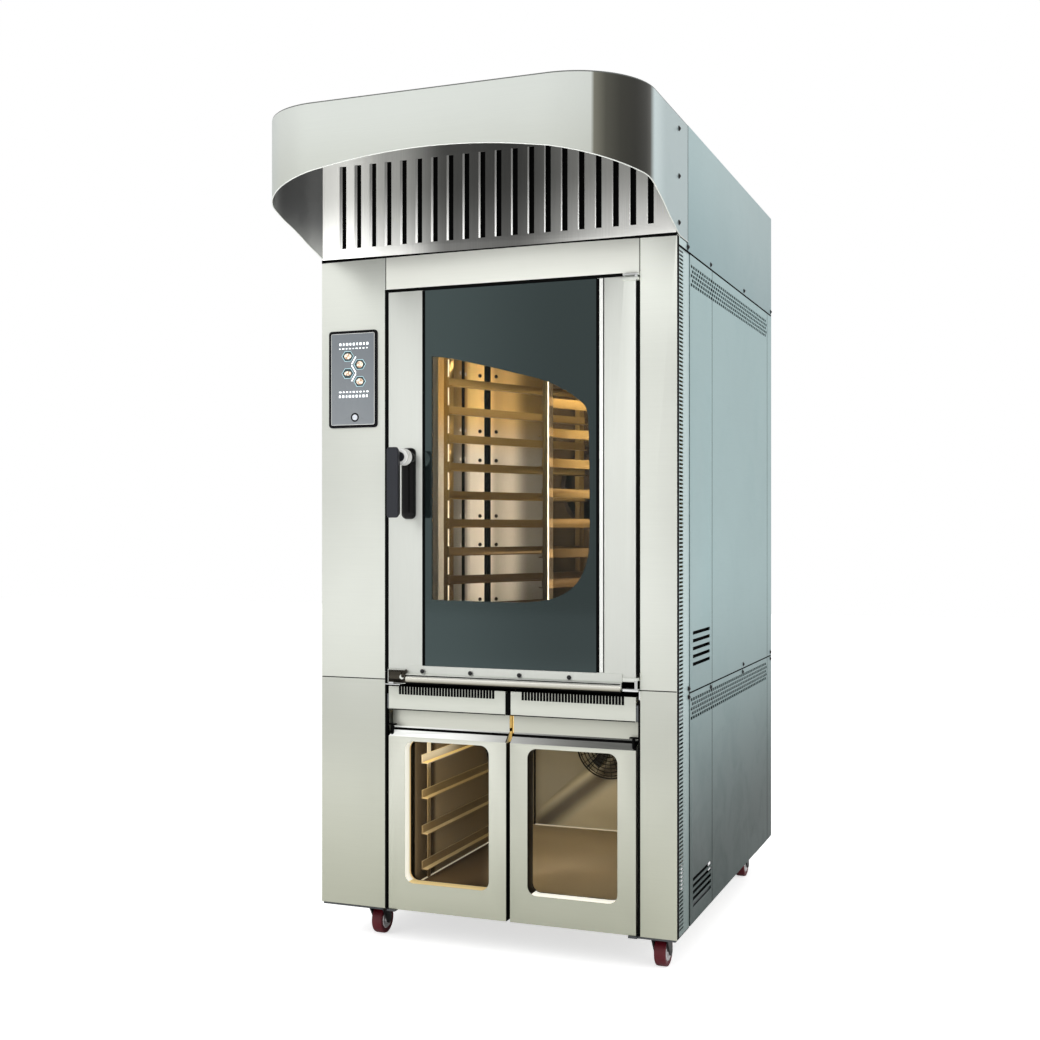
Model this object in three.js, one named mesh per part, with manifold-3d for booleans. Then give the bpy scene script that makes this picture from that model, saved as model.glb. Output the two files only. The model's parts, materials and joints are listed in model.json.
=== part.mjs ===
// Rotating rack oven over a two-door proofer, on four swivel castors.
// Millimetres, +Z up. The whole part stands on Z = 0, centred on X and Y, and the doors face -Y.
// The pieces are laid out in a corner frame: x from the left side, y back from the front of the body,
// z from the floor. One group at the end carries them to the centred frame.

import * as THREE from "three";
import { mergeVertices } from "three/addons/utils/BufferGeometryUtils.js";
import Module from "manifold-3d";

const wasm = await Module();
wasm.setup();

// ---------------------------------------------------------------- driving dimensions

const width = 1010;
const bodyDepth = 1255;
const hoodReach = 405;
const bodyBottom = 100;
const bodyTop = 1874;
const hoodHeight = 302;

const sheet = 2;
const fit = 0.3;
const seam = 1.5;
const weld = 1;
const coverLift = 2;
const grooveWidth = 2;
const grooveDepth = 0.8;

const leftColumnWidth = 196;
const rightColumnWidth = 96;
const columnSeam = 725;
const columnWrap = 20;
const openingLeft = leftColumnWidth;
const openingRight = width - rightColumnWidth;

const tube = 40;
const baseTube = 50;
const crossTubeFront = 250;
const crossTubeRear = 840;
const bridgeHalf = 60;
const bridgeThickness = 6;

// Oven door and what hangs on it
const doorLatchGap = 10;
const doorHingeGap = 11;
const doorLeft = openingLeft + doorLatchGap;
const doorRight = openingRight - doorHingeGap;
const headerHeight = 94;
const headerBottom = bodyTop - headerHeight;
const doorHeaderGap = 5;
const doorTop = headerBottom - doorHeaderGap;
const doorDepth = 60;
const stileWidth = 103;
const outerGlassThickness = 6;
const outerGlassRecess = 3;
const innerGlassThickness = 6;
const innerGlassBorder = 6;
const bottomRail = 20;
const windowInset = 20;
const windowRail = 50;
const lowerWindowRail = 35;
const gasketWidth = 14;
const gasketDepth = 15;
const hingeInset = 9;
const hingePin = 9;
const hingeEye = 8;
const hingePlate = 7;
const hingeReach = 33;
const hingeBay = 43;
const hingeWall = 4;
const hingeWallDrop = 22;
const hingeBack = 40;
const lugRise = 5;
const gutterLatchInset = 56;
const gutterHingeInset = 35;
const gutterRadius = 11;
const gutterLip = 12;
const latchInset = 2;
const latchWidth = 52;
const latchHeight = 38;
const latchLap = 9;
const latchDepth = 9;
const latchBoss = 6.5;
const latchBossDepth = 18;

// Door handle
const handleInset = 67;
const handlePivotZ = 1325;
const handleBaseWidth = 36;
const handleBaseTop = 1360;
const handleBaseBottom = 1160;
const handleBaseDepth = 10;
const handleBossRadius = 17;
const handleBossDepth = 34;
const handleNeck = 40;
const neckGroove = 3;
const spindleRadius = 7;
const spindleInset = 8;
const gripWidth = 29;
const gripDepth = 32;
const gripTop = 1349;
const gripBottom = 1165;
const gripFront = 100;
const gripCorner = 13;

// Control panel
const panelMargin = 25;
const panelWidth = 148;
const panelBottom = 1411;
const panelHeight = 266;
const panelDepth = 5;
const panelCorner = 6;
const screenBorder = 13;
const screenRise = 55;
const buttonInset = 81;
const buttonRise = 28;
const buttonRadius = 8;
const buttonTravel = 1.5;
const buttonProud = 1.7;
const buttonChamfer = 1;

// Hood
const hoodCorner = 200;
const visorFrontDrop = 138.4;
const visorSideDrop = 219;
const visorBack = 112;
const casingSkirt = 25;
const hoodSeam = 0.8;
const hoodLedge = 30;
const grilleSlots = 20;
const grilleMargin = 60;
const grilleSlotWidth = 16;
const grilleSlotRise = 30;
const grilleSlotDrop = 45;
const flueRadius = 100;
const flueHeight = 50;
const flueFlange = 20;
const flueInset = 245;

// Side and back casing
const sideSeam = 708;
const stripFront = 20.5;
const stripBack = 131;
const stripRecess = 2;
const foldFront = 383;
const foldInset = 74;
const ventSlots = 5;
const ventSlotHeight = 9;
const ventFront = 165;
const upperVentRear = 359;
const upperVentBottom = 774;
const upperVentTop = 865;
const lowerVentRear = 371;
const lowerVentBottom = 143;
const lowerVentTop = 219;
const backVentHalf = 160;
const backVentPitch = 27;
const upperBackVents = 8;
const lowerBackVents = 4;
const inletRadius = 16;
const inletBore = 10;
const inletLength = 24;
const inletNut = 24;
const inletNutDepth = 6;
const inletSideInset = 150;
const inletDrop = 90;

// Vent covers above the proofer doors
const ventCoverHeight = 58.5;
const ventCoverGap = 15;
const combSlots = 33;
const combSlotWidth = 4.5;
const combSlotDepth = 16;
const combMargin = 30;

// Proofer
const prooferInset = 54;
const prooferBack = 900;
const prooferWall = 20;
const prooferFlangeY = 46.5;
const prooferFlangeInset = 13;
const prooferDoorTop = 642;
const prooferDoorDepth = 45;
const prooferDoorGap = 11;
const lipDrop = 46;
const lipHeight = 24;
const lipRecess = 26;
const windowWidth = 245;
const windowFoot = 75;
const windowHead = 12;
const windowCorner = 25;
const windowRebate = 10;
const prooferGlass = 6;
const pivotInset = 8;
const pivotY = 8;
const pivotRadius = 4;
const pivotDepth = 12;
const pivotEar = 12;
const pivotTab = 3;
const pivotTabLift = 5;
const upperPinReach = 27;
const ceilingDrop = 52;
const runnerLevels = 4;
const runnerPitch = 98.5;
const runnerLowest = 27;
const runnerFront = 110;
const runnerBackGap = 50;
const runnerHeight = 24;
const runnerLedge = 20;
const runnerThickness = 3;
const runnerPost = 20;
const prooferFanX = 560;
const prooferFanZ = 435;
const prooferFanHub = 20;
const prooferFanTip = 85;
const prooferFanBlades = 5;
const prooferBladeWidth = 34;
const prooferFanGap = 15;
const prooferShaft = 5;
const prooferShaftHole = 8;
const prooferMotorRadius = 42;
const prooferMotorLength = 60;
const guardRadius = 107;
const guardWire = 3;
const guardRings = 2;
const guardSpokes = 3;
const guardStandoff = 36;

// Baking chamber
const chamberCentreY = 462;
const chamberInsetLeft = 168;
const chamberInsetRight = 74;
const chamberBackY = 848;
const airPanelFront = 118;
const airPanelFold = 12;
const airPanelRim = 34;
const ductDepth = 18;
const floorRise = 37;
const ceilingFall = 25;
const plenumDepth = 152;
const linerFlangeY = 76;
const thresholdHeight = 13;
const mouthHead = 5;
const mouthInset = 30;
const leftWool = 90;
const rightGap = 10;
const rearWool = 62;
const topGap = 2;
const slitWidth = 10;
const slitMargin = 50;
const slitInset = 60;
const shaftHole = 30;
const lampRadius = 9;
const lampHolder = 28;
const lampInset = 40;
const lampMargin = 120;

// Rack and its drive
const rackTurn = 24;
const rackHalfWidth = 200;
const rackHalfLength = 280;
const rackPost = 20;
const rackFloorGap = 50;
const rackHeadGap = 50;
const railLevels = 10;
const railFoot = 72;
const railHead = 60.7;
const railHeight = 24;
const railLedge = 15;
const railThickness = 3;
const beamHalf = 30;
const driveShaft = 15;
const shaftReach = 24;
const carrierRadius = 90;
const carrierHub = 40;
const carrierPlate = 5;
const carrierRise = 22;
const gearboxHalfWidth = 55;
const gearboxHalfDepth = 45;
const gearboxHeight = 80;
const gearboxFlange = 8;
const gearboxFlangeEdge = 12;
const gearMotorRadius = 42;
const gearMotorLength = 140;

// Air circulation
const fanRadius = 190;
const fanEye = 150;
const fanGap = 24;
const fanDepth = 76;
const fanDisc = 3;
const fanBlades = 12;
const bladeChord = 62;
const bladeSheet = 2.5;
const fanShaft = 12;
const motorRadius = 80;
const motorLength = 140;
const motorFlange = 8;
const motorFins = 6;
const finHeight = 12;
const finWidth = 4;
const heaterRadius = 235;
const heaterTube = 5;
const heaterLoops = 3;
const heaterPitch = 28;
const heaterSides = 4;
const heaterStays = 3;

// Castors
const castorSideInset = [132, 65];
const castorFrontInset = 84;
const castorRearInset = 193;
const castorPlateHalf = 55;
const wheelRadius = 40;
const wheelWidth = 32;
const castorTrail = 26;
const castorPlate = 4;
const crownRadius = 30;
const crownDepth = 8;
const forkThickness = 4;
const forkEye = 12;
const axleRadius = 4;
const wheelShoulder = 5;
const hubRadius = 13;
const roundSides = 16;
const smallSides = 12;

// Places that follow from the sizes above
const hoodTop = bodyTop + hoodHeight;
const coverBottom = bodyBottom + coverLift;
const coverTop = bodyTop - coverLift;
const frameLeft = stripRecess + sheet + fit;
const frameRight = width - frameLeft;
const frameFront = sheet + fit;
const frameBack = bodyDepth - sheet - fit;
const frameTop = bodyTop - sheet;
const ventCoverBottom = prooferDoorTop + seam;
const ventCoverTop = ventCoverBottom + ventCoverHeight;
const midRingBottom = ventCoverBottom + sheet + fit;
const midRingTop = midRingBottom + tube;
const doorBottom = ventCoverTop + hingeBay;
const glassBottom = doorBottom + bottomRail;
const linerFloor = doorBottom + floorRise;
const linerCeiling = doorTop - ceilingFall;
const mouthLeft = doorLeft + mouthInset;
const mouthRight = doorRight - mouthInset;
const mouthBottom = linerFloor + thresholdHeight;
const mouthTop = linerCeiling - mouthHead;
const chamberLeft = chamberInsetLeft;
const chamberRight = width - chamberInsetRight;
const chamberCentreX = (chamberLeft + chamberRight) / 2;
const chamfer = chamberRight - chamberCentreX - fanEye - airPanelRim;
const linerLeft = chamberLeft - ductDepth;
const linerRight = chamberRight + ductDepth;
const linerBack = chamberBackY + plenumDepth;
const insulationBack = linerBack + rearWool;
const insulationTop = bodyTop - sheet - tube - topGap;
const fanZ = (linerFloor + linerCeiling) / 2;
const rackBottom = linerFloor + rackFloorGap;
const rackTop = linerCeiling - rackHeadGap;
const prooferLeft = openingLeft + prooferInset;
const prooferRight = openingRight - prooferInset;
const prooferFloor = bodyBottom + baseTube + fit + prooferWall;
const prooferCeiling = prooferDoorTop - ceilingDrop;
const lipTop = prooferDoorTop - lipDrop;
const lipBottom = lipTop - lipHeight;
const prooferFanAt = [prooferFanX, prooferFanZ];
const prooferPivotX = [doorLeft + pivotInset, doorRight - pivotInset];
const handleX = doorLeft + handleInset;
const hingeX = openingRight - hingeInset;
const hingeY = 3 - hingeInset;
const castorX = [castorSideInset[0], width - castorSideInset[1]];
const castorY = [castorFrontInset, bodyDepth - castorRearInset];

// ---------------------------------------------------------------- finishes

const finish = (color, roughness, metalness, extra = {}) =>
  new THREE.MeshStandardMaterial({ color, roughness, metalness, ...extra });

const brushedSteel = finish(0xd6d8cf, 0.36, 0.9);
const sideSteel = finish(0xb4c6c6, 0.4, 0.85);
const visorSteel = finish(0xc9cac0, 0.3, 0.95);
const frameSteel = finish(0x8b8f90, 0.55, 0.8);
const chamberSteel = finish(0xc9a869, 0.33, 0.9);
const rackSteel = finish(0xcfae74, 0.3, 0.95);
const chrome = finish(0xe4e6e6, 0.12, 1);
const darkGlass = finish(0x3c4a4c, 0.08, 0, { transparent: true, opacity: 0.8 });
const clearGlass = finish(0xd9e2df, 0.05, 0, { transparent: true, opacity: 0.25 });
const blackPlastic = finish(0x1c1d1e, 0.42, 0);
const screenGlass = finish(0x6b7072, 0.15, 0);
const silicone = finish(0x3a3d3d, 0.75, 0);
const mineralWool = finish(0xb9a46a, 0.95, 0);
const motorPaint = finish(0x4a5358, 0.5, 0.4);
const heaterMetal = finish(0x5a4f49, 0.5, 0.8);
const redTyre = finish(0x96182a, 0.5, 0);
const lampGlass = finish(0xffe2a6, 0.25, 0);

// ---------------------------------------------------------------- shape helpers

const AXES = {
  z: [[1, 0, 0], [0, 1, 0], [0, 0, 1]],
  y: [[1, 0, 0], [0, 0, 1], [0, -1, 0]],
  x: [[0, 1, 0], [0, 0, 1], [1, 0, 0]],
};

/** Turns geometry modelled along +Z so that it runs along x, y or z. */
function turned(geometry, axis) {
  const basis = AXES[axis].map((column) => new THREE.Vector3(...column));
  return geometry.applyMatrix4(new THREE.Matrix4().makeBasis(...basis));
}

/** A box between two corners. */
function block(x0, x1, y0, y1, z0, z1) {
  const box = new THREE.BoxGeometry(x1 - x0, y1 - y0, z1 - z0);
  return box.translate((x0 + x1) / 2, (y0 + y1) / 2, (z0 + z1) / 2);
}

/** An outline extruded along an axis: z takes (x, y) points, y takes (x, z) and x takes (y, z). */
function prism(outline, axis, from, to, curveSegments = 4) {
  const shape = Array.isArray(outline)
    ? new THREE.Shape(outline.map(([a, b]) => new THREE.Vector2(a, b)))
    : outline;
  const depth = to - from;
  const body = turned(
    new THREE.ExtrudeGeometry(shape, { depth, bevelEnabled: false, curveSegments }), axis);
  const start = axis === "y" ? to : from;
  return body.translate(axis === "x" ? start : 0, axis === "y" ? start : 0, axis === "z" ? start : 0);
}

/** A cylinder along an axis, given its centre in the plane across that axis. */
function rod(radius, axis, [a, b], from, to, sides = roundSides) {
  const body = new THREE.CylinderGeometry(radius, radius, to - from, sides);
  body.rotateX(Math.PI / 2);
  turned(body, axis);
  const middle = (from + to) / 2;
  if (axis === "x") return body.translate(middle, a, b);
  if (axis === "y") return body.translate(a, middle, b);
  return body.translate(a, b, middle);
}

/** A closed ring or disc turned about an axis from (radius, along) points. */
function turning(points, axis, [a, b], sides = roundSides, phase = 0) {
  const profile = points.map(([radius, along]) => new THREE.Vector2(radius, along));
  const body = new THREE.LatheGeometry(profile, sides, phase);
  body.rotateX(Math.PI / 2);
  turned(body, axis);
  if (axis === "x") return body.translate(0, a, b);
  if (axis === "y") return body.translate(a, 0, b);
  return body.translate(a, b, 0);
}

/** A rectangle with round corners, between two corners of its plane. */
function roundedShape(a0, a1, b0, b1, radius, Kind = THREE.Shape) {
  const shape = new Kind();
  shape.moveTo(a0 + radius, b0);
  shape.lineTo(a1 - radius, b0);
  shape.absarc(a1 - radius, b0 + radius, radius, -Math.PI / 2, 0);
  shape.lineTo(a1, b1 - radius);
  shape.absarc(a1 - radius, b1 - radius, radius, 0, Math.PI / 2);
  shape.lineTo(a0 + radius, b1);
  shape.absarc(a0 + radius, b1 - radius, radius, Math.PI / 2, Math.PI);
  shape.lineTo(a0, b0 + radius);
  shape.absarc(a0 + radius, b0 + radius, radius, Math.PI, 1.5 * Math.PI);
  return shape;
}

const range = (count) => Array.from({ length: count }, (_, index) => index);

/** A copy with only its positions kept and its shared vertices merged. */
function bareCopy(geometry) {
  const bare = geometry.clone();
  bare.deleteAttribute("normal");
  bare.deleteAttribute("uv");
  return mergeVertices(bare, 1e-4);
}

/** The solid of a closed geometry. */
function solid(geometry) {
  const merged = bareCopy(geometry);
  return new wasm.Manifold(new wasm.Mesh({
    numProp: 3,
    vertProperties: new Float32Array(merged.attributes.position.array),
    triVerts: new Uint32Array(merged.index.array),
  }));
}

/** The geometry of a solid. */
function geometryOf(body) {
  const mesh = body.getMesh();
  const geometry = new THREE.BufferGeometry();
  geometry.setAttribute("position", new THREE.BufferAttribute(new Float32Array(mesh.vertProperties), 3));
  geometry.setIndex(new THREE.BufferAttribute(new Uint32Array(mesh.triVerts), 1));
  return geometry;
}

/** Joins geometries into one. */
function join(...geometries) {
  return geometryOf(geometries.map(solid).reduce((whole, next) => whole.add(next)));
}

/** Takes tools away from a geometry. */
function cut(base, ...tools) {
  return geometryOf(tools.map(solid).reduce((rest, tool) => rest.subtract(tool), solid(base)));
}

/** A geometry mirrored left to right about a plane x = middle, with its faces still outwards. */
function mirrored(geometry, middle) {
  const copy = bareCopy(geometry);
  copy.scale(-1, 1, 1);
  copy.translate(2 * middle, 0, 0);
  const order = copy.index.array;
  for (let i = 0; i < order.length; i += 3) {
    [order[i + 1], order[i + 2]] = [order[i + 2], order[i + 1]];
  }
  return copy;
}

/** One named piece. */
function piece(name, material, geometry) {
  const mesh = new THREE.Mesh(geometry, material);
  mesh.name = name;
  mesh.geometry.computeVertexNormals();
  return mesh;
}

// ---------------------------------------------------------------- chassis

const rings = {
  base: [bodyBottom, bodyBottom + baseTube],
  middle: [midRingBottom, midRingTop],
  top: [frameTop - tube, frameTop],
};

/** A rectangular ring of tube round the body, its front tube set back to y = front, with cross tubes. */
function tubeRing([bottom, top], front, crossings) {
  return [
    block(frameLeft, frameRight, front, front + tube, bottom, top),
    block(frameLeft, frameRight, frameBack - tube, frameBack, bottom, top),
    block(frameLeft, frameLeft + tube, frameFront, frameBack, bottom, top),
    block(frameRight - tube, frameRight, frameFront, frameBack, bottom, top),
    ...crossings.map((y) => block(frameLeft, frameRight, y, y + tube, bottom, top)),
  ];
}

/** The plates that the castors bolt to, one at each corner, under the base ring. */
function castorPlates() {
  return castorY.flatMap((y) => {
    const edge = y < bodyDepth / 2 ? frameFront : frameBack;
    const inner = y + Math.sign(y - edge) * castorPlateHalf;
    const [y0, y1] = [Math.min(edge, inner), Math.max(edge, inner)];
    const [z0, z1] = [bodyBottom - castorPlate, bodyBottom + weld];
    return [
      block(frameLeft, castorX[0] + castorPlateHalf, y0, y1, z0, z1),
      block(castorX[1] - castorPlateHalf, frameRight, y0, y1, z0, z1),
    ];
  });
}

/** The ears that carry the lower pins of the proofer doors. */
function lowerPivots() {
  return prooferPivotX.flatMap((x) => [
    block(x - pivotEar, x + pivotEar, pivotY - pivotEar, prooferFlangeY + pivotEar,
      bodyBottom - castorPlate, coverBottom - fit),
    rod(pivotRadius, "z", [x, pivotY], bodyBottom, coverBottom + pivotDepth, smallSides),
  ]);
}

function chassis() {
  const posts = [frameLeft, frameRight - tube].flatMap((x) =>
    [frameFront, frameBack - tube].map((y) => block(x, x + tube, y, y + tube, bodyBottom, frameTop)));
  const bridge = cut(
    block(frameLeft, frameRight, chamberCentreY - bridgeHalf, chamberCentreY + bridgeHalf,
      frameTop - bridgeThickness, frameTop),
    rod(shaftHole, "z", [chamberCentreX, chamberCentreY],
      frameTop - bridgeThickness - weld, frameTop + weld));
  return join(
    ...tubeRing(rings.base, prooferFlangeY, [crossTubeFront, crossTubeRear]),
    ...tubeRing(rings.middle, frameFront, [crossTubeFront, crossTubeRear]),
    ...tubeRing(rings.top, frameFront, []),
    ...posts, ...castorPlates(), ...lowerPivots(), bridge);
}

// ---------------------------------------------------------------- outer casing

const jambDepth = linerFlangeY - fit;
const lowerJambDepth = prooferFlangeY - fit;

/** The small tab that holds a proofer door's upper pin, from the jamb out over the door's lip. */
function upperPivot(x, jambX) {
  const reach = pivotRadius + 2 * pivotTab;
  const [x0, x1] = jambX < x ? [jambX - weld, x + reach] : [x - reach, jambX + weld];
  const tab = lipTop + pivotTabLift;
  return [
    block(x0, x1, pivotY - pivotRadius - pivotTab, pivotY + pivotRadius + pivotTab, tab, tab + pivotTab),
    rod(pivotRadius, "z", [x, pivotY], lipTop - upperPinReach, tab + weld, smallSides),
  ];
}

/** A folded column cover: face, wrap round the corner, and the jamb beside the doors. */
function columnCover(outer, jamb, pivotX) {
  const toJamb = Math.sign(jamb - outer);
  const at = (a, b) => [Math.min(a, b), Math.max(a, b)];
  const face = at(outer, jamb);
  const wrap = at(outer, outer + toJamb * sheet);
  const inner = at(jamb - toJamb * sheet, jamb);
  const folded = join(
    block(...face, 0, sheet, coverBottom, coverTop),
    block(...wrap, 0, columnWrap, coverBottom, coverTop),
    block(...inner, 0, lowerJambDepth, coverBottom, coverTop),
    block(...inner, 0, jambDepth, midRingTop + fit, coverTop),
    ...upperPivot(pivotX, jamb));
  const notches = [rings.middle, rings.top].map(([bottom, top]) =>
    block(inner[0] - weld, inner[1] + weld, sheet, frameFront + tube + fit, bottom - fit, top + fit));
  return cut(folded, ...notches,
    block(face[0] - weld, face[1] + weld, -weld, grooveDepth, columnSeam, columnSeam + grooveWidth));
}

const leftColumn = () => columnCover(0, openingLeft, prooferPivotX[0]);
const rightColumn = () => columnCover(width, openingRight, prooferPivotX[1]);

function frontHeader() {
  const [x0, x1] = [openingLeft + seam, openingRight - seam];
  return join(
    block(x0, x1, 0, sheet, headerBottom, coverTop),
    block(x0, x1, 0, jambDepth, headerBottom, headerBottom + sheet));
}

/** Louvre strip behind the front corner, its slots left to the finish, with folded edges. */
function louvreStrip() {
  const face = width - stripRecess;
  return cut(
    join(
      block(face - sheet, face, stripFront, stripBack, coverBottom, coverTop),
      block(face - sheet, face + stripRecess, stripFront, stripFront + sheet, coverBottom, coverTop)),
    block(face - grooveDepth, width + weld, stripFront - weld, stripBack + weld,
      sideSeam, sideSeam + grooveWidth));
}

/** A side panel with its vent slots, its fold lines and a fold to the frame along each upright edge. */
function sidePanel(bottom, top, ventRear, ventBottom, ventTop) {
  const [front, rear] = [stripBack + seam, bodyDepth - sheet - seam];
  const pitch = (ventTop - ventBottom - ventSlotHeight) / (ventSlots - 1);
  const slots = range(ventSlots).map((i) => {
    const z = ventBottom + i * pitch;
    return block(width - sheet - weld, width + weld, ventFront, ventRear, z, z + ventSlotHeight);
  });
  const skin = block(width - sheet, width, front, rear, bottom, top);
  const grooves = [foldFront, bodyDepth - foldInset].map((y) =>
    block(width - grooveDepth, width + weld, y, y + grooveWidth, bottom - weld, top + weld));
  const folds = [front, rear - sheet].map((y) => block(frameRight + fit, width, y, y + sheet, bottom, top));
  return cut(join(skin, ...folds), ...grooves, ...slots);
}

const upperPanelBottom = sideSeam + seam;
const lowerPanelTop = sideSeam - seam;
const upperSidePanel = () =>
  sidePanel(upperPanelBottom, skirtBottom - seam, upperVentRear, upperVentBottom, upperVentTop);
const lowerSidePanel = () =>
  sidePanel(coverBottom, lowerPanelTop, lowerVentRear, lowerVentBottom, lowerVentTop);

/** A back panel; the upper one breathes for the fan motor, the lower one takes the supply gland. */
function backPanel(bottom, top, slotCount, slotBottom) {
  const slots = range(slotCount).map((i) => {
    const z = slotBottom + i * backVentPitch;
    return block(chamberCentreX - backVentHalf, chamberCentreX + backVentHalf,
      bodyDepth - sheet - weld, bodyDepth + weld, z, z + ventSlotHeight);
  });
  return cut(block(0, width, bodyDepth - sheet, bodyDepth, bottom, top), ...slots);
}

const skirtBottom = bodyTop - casingSkirt;
const upperBackPanel = () =>
  backPanel(upperPanelBottom, skirtBottom - seam, upperBackVents,
    fanZ - (upperBackVents * backVentPitch) / 2);

function lowerBackPanel() {
  const glandAt = [width - inletSideInset, lowerPanelTop - inletDrop];
  const inside = bodyDepth - inletLength;
  const gland = join(
    rod(inletRadius, "y", glandAt, inside, bodyDepth),
    rod(inletNut, "y", glandAt, bodyDepth - sheet - inletNutDepth, bodyDepth - weld, 6));
  return cut(
    join(backPanel(coverBottom, lowerPanelTop, lowerBackVents, lowerVentBottom), gland),
    rod(inletBore, "y", glandAt, inside - weld, bodyDepth + weld));
}

/** A vent cover: a comb of open slots along its upper edge, with folded ends. */
function ventCover(x0, x1) {
  const pitch = (x1 - x0 - 2 * combMargin) / combSlots;
  const outline = [[x0, ventCoverBottom], [x1, ventCoverBottom], [x1, ventCoverTop]];
  for (let i = combSlots - 1; i >= 0; i -= 1) {
    const slot = x0 + combMargin + (i + 0.5) * pitch - combSlotWidth / 2;
    outline.push([slot + combSlotWidth, ventCoverTop], [slot + combSlotWidth, ventCoverTop - combSlotDepth]);
    outline.push([slot, ventCoverTop - combSlotDepth], [slot, ventCoverTop]);
  }
  outline.push([x0, ventCoverTop]);
  const floorEdge = midRingTop + fit;
  return join(
    prism(outline, "y", 0, sheet),
    block(x0, x0 + sheet, 0, tube, floorEdge, ventCoverTop),
    block(x1 - sheet, x1, 0, tube, floorEdge, ventCoverTop));
}

// ---------------------------------------------------------------- hood

const hoodSeat = frameTop + fit;
const flueAt = [width / 2, bodyDepth - flueInset];

/** Plan outline of the hood's front: straight sides, two round corners and a straight front. */
function visorPlan(inset, back) {
  const radius = hoodCorner - inset;
  const [left, right, front] = [inset, width - inset, inset - hoodReach];
  const plan = new THREE.Shape();
  plan.moveTo(left, back);
  plan.lineTo(left, front + radius);
  plan.absarc(left + radius, front + radius, radius, Math.PI, 1.5 * Math.PI);
  plan.lineTo(right - radius, front);
  plan.absarc(right - radius, front + radius, radius, 1.5 * Math.PI, 2 * Math.PI);
  plan.lineTo(right, back);
  return plan;
}

/** The visor: a bent band with an arched lower edge, closed above and open below. */
function hoodVisor() {
  const cornerY = hoodCorner - hoodReach;
  const wallSteps = 9;
  const archSteps = 24;
  const shell = cut(
    prism(visorPlan(0, visorBack), "z", bodyTop, hoodTop, wallSteps),
    prism(visorPlan(sheet, visorBack + weld), "z", bodyTop - weld, hoodTop - sheet, wallSteps));
  const [edgeFront, edgeCorner] = [hoodTop - visorFrontDrop, hoodTop - visorSideDrop];
  const rise = edgeFront - edgeCorner;
  const archRadius = ((width / 2) ** 2 + rise ** 2) / (2 * rise);
  const halfAngle = Math.asin(width / 2 / archRadius);
  const below = bodyTop - weld;
  const arch = new THREE.Shape();
  arch.moveTo(-weld, edgeCorner);
  arch.lineTo(-weld, below);
  arch.lineTo(width + weld, below);
  arch.lineTo(width + weld, edgeCorner);
  arch.absarc(width / 2, edgeFront - archRadius, archRadius,
    Math.PI / 2 - halfAngle, Math.PI / 2 + halfAngle);
  const underFront = prism(arch, "y", -hoodReach - weld, cornerY, archSteps);
  const underSides = prism([
    [cornerY - weld, below], [0, below], [0, bodyTop], [cornerY, edgeCorner], [cornerY - weld, edgeCorner],
  ], "x", -weld, width + weld);
  return cut(shell, underFront, underSides);
}

/** The casing over the body: roof, two sides and back, with a ledge on the frame along each side. */
function hoodCasing() {
  const front = visorBack + hoodSeam;
  const ledge = (x0, x1) => block(x0, x1, stripBack + fit, bodyDepth - weld, hoodSeat, hoodSeat + sheet);
  const shell = cut(
    block(0, width, front, bodyDepth, skirtBottom, hoodTop),
    block(sheet, width - sheet, front - weld, bodyDepth - sheet, skirtBottom - weld, hoodTop - sheet));
  return cut(
    join(shell, ledge(weld, hoodLedge), ledge(width - hoodLedge, width - weld)),
    rod(flueRadius - sheet, "z", flueAt, hoodTop - sheet - weld, hoodTop + weld));
}

/** The slotted panel that stands over the header and feeds the extraction space. */
function hoodGrille() {
  const pitch = (width - 2 * grilleMargin - grilleSlotWidth) / (grilleSlots - 1);
  const slots = range(grilleSlots).map((i) => {
    const x = grilleMargin + i * pitch;
    return block(x, x + grilleSlotWidth, -weld, sheet + weld,
      bodyTop + grilleSlotRise, hoodTop - grilleSlotDrop);
  });
  const [x0, x1] = [sheet + fit, width - sheet - fit];
  const [z0, z1] = [hoodSeat, hoodTop - sheet - fit];
  return cut(join(block(x0, x1, 0, sheet, z0, z1), block(x0, x1, 0, tube, z0, z0 + sheet)), ...slots);
}

/** A spigot on the roof for the flue pipe. */
function flueCollar() {
  const seat = hoodTop + fit;
  return turning([
    [flueRadius - sheet, seat], [flueRadius + flueFlange, seat], [flueRadius + flueFlange, seat + sheet],
    [flueRadius, seat + sheet], [flueRadius, seat + flueHeight], [flueRadius - sheet, seat + flueHeight],
    [flueRadius - sheet, seat],
  ], "z", flueAt);
}

// ---------------------------------------------------------------- baking chamber

/** The welded chamber: five walls and the flange that the door closes on. */
function ovenLiner() {
  const walls = cut(
    block(linerLeft - sheet, linerRight + sheet, linerFlangeY, linerBack + sheet,
      linerFloor - sheet, linerCeiling + sheet),
    block(linerLeft, linerRight, linerFlangeY + sheet, linerBack, linerFloor, linerCeiling));
  const flange = block(linerLeft - sheet, linerRight + sheet, linerFlangeY, linerFlangeY + sheet,
    doorBottom, linerCeiling + tube);
  return cut(
    join(walls, flange),
    block(mouthLeft, mouthRight, linerFlangeY - weld, linerFlangeY + sheet + weld, mouthBottom, mouthTop),
    rod(shaftHole, "z", [chamberCentreX, chamberCentreY], linerCeiling - weld, linerCeiling + sheet + weld),
    rod(shaftHole, "y", [chamberCentreX, fanZ], linerBack - weld, linerBack + sheet + weld));
}

/** The mineral wool round the chamber, with a way through for the two shafts. */
function ovenInsulation() {
  const hole = fit + sheet;
  return cut(
    block(linerLeft - leftWool, width - rightGap, linerFlangeY + sheet + fit, insulationBack,
      midRingTop + fit, insulationTop),
    block(linerLeft - hole, linerRight + hole, linerFlangeY, linerBack + hole,
      linerFloor - hole, linerCeiling + hole),
    rod(shaftHole, "z", [chamberCentreX, chamberCentreY], linerCeiling, insulationTop + weld),
    rod(shaftHole, "y", [chamberCentreX, fanZ], linerBack, insulationBack + weld));
}

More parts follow.
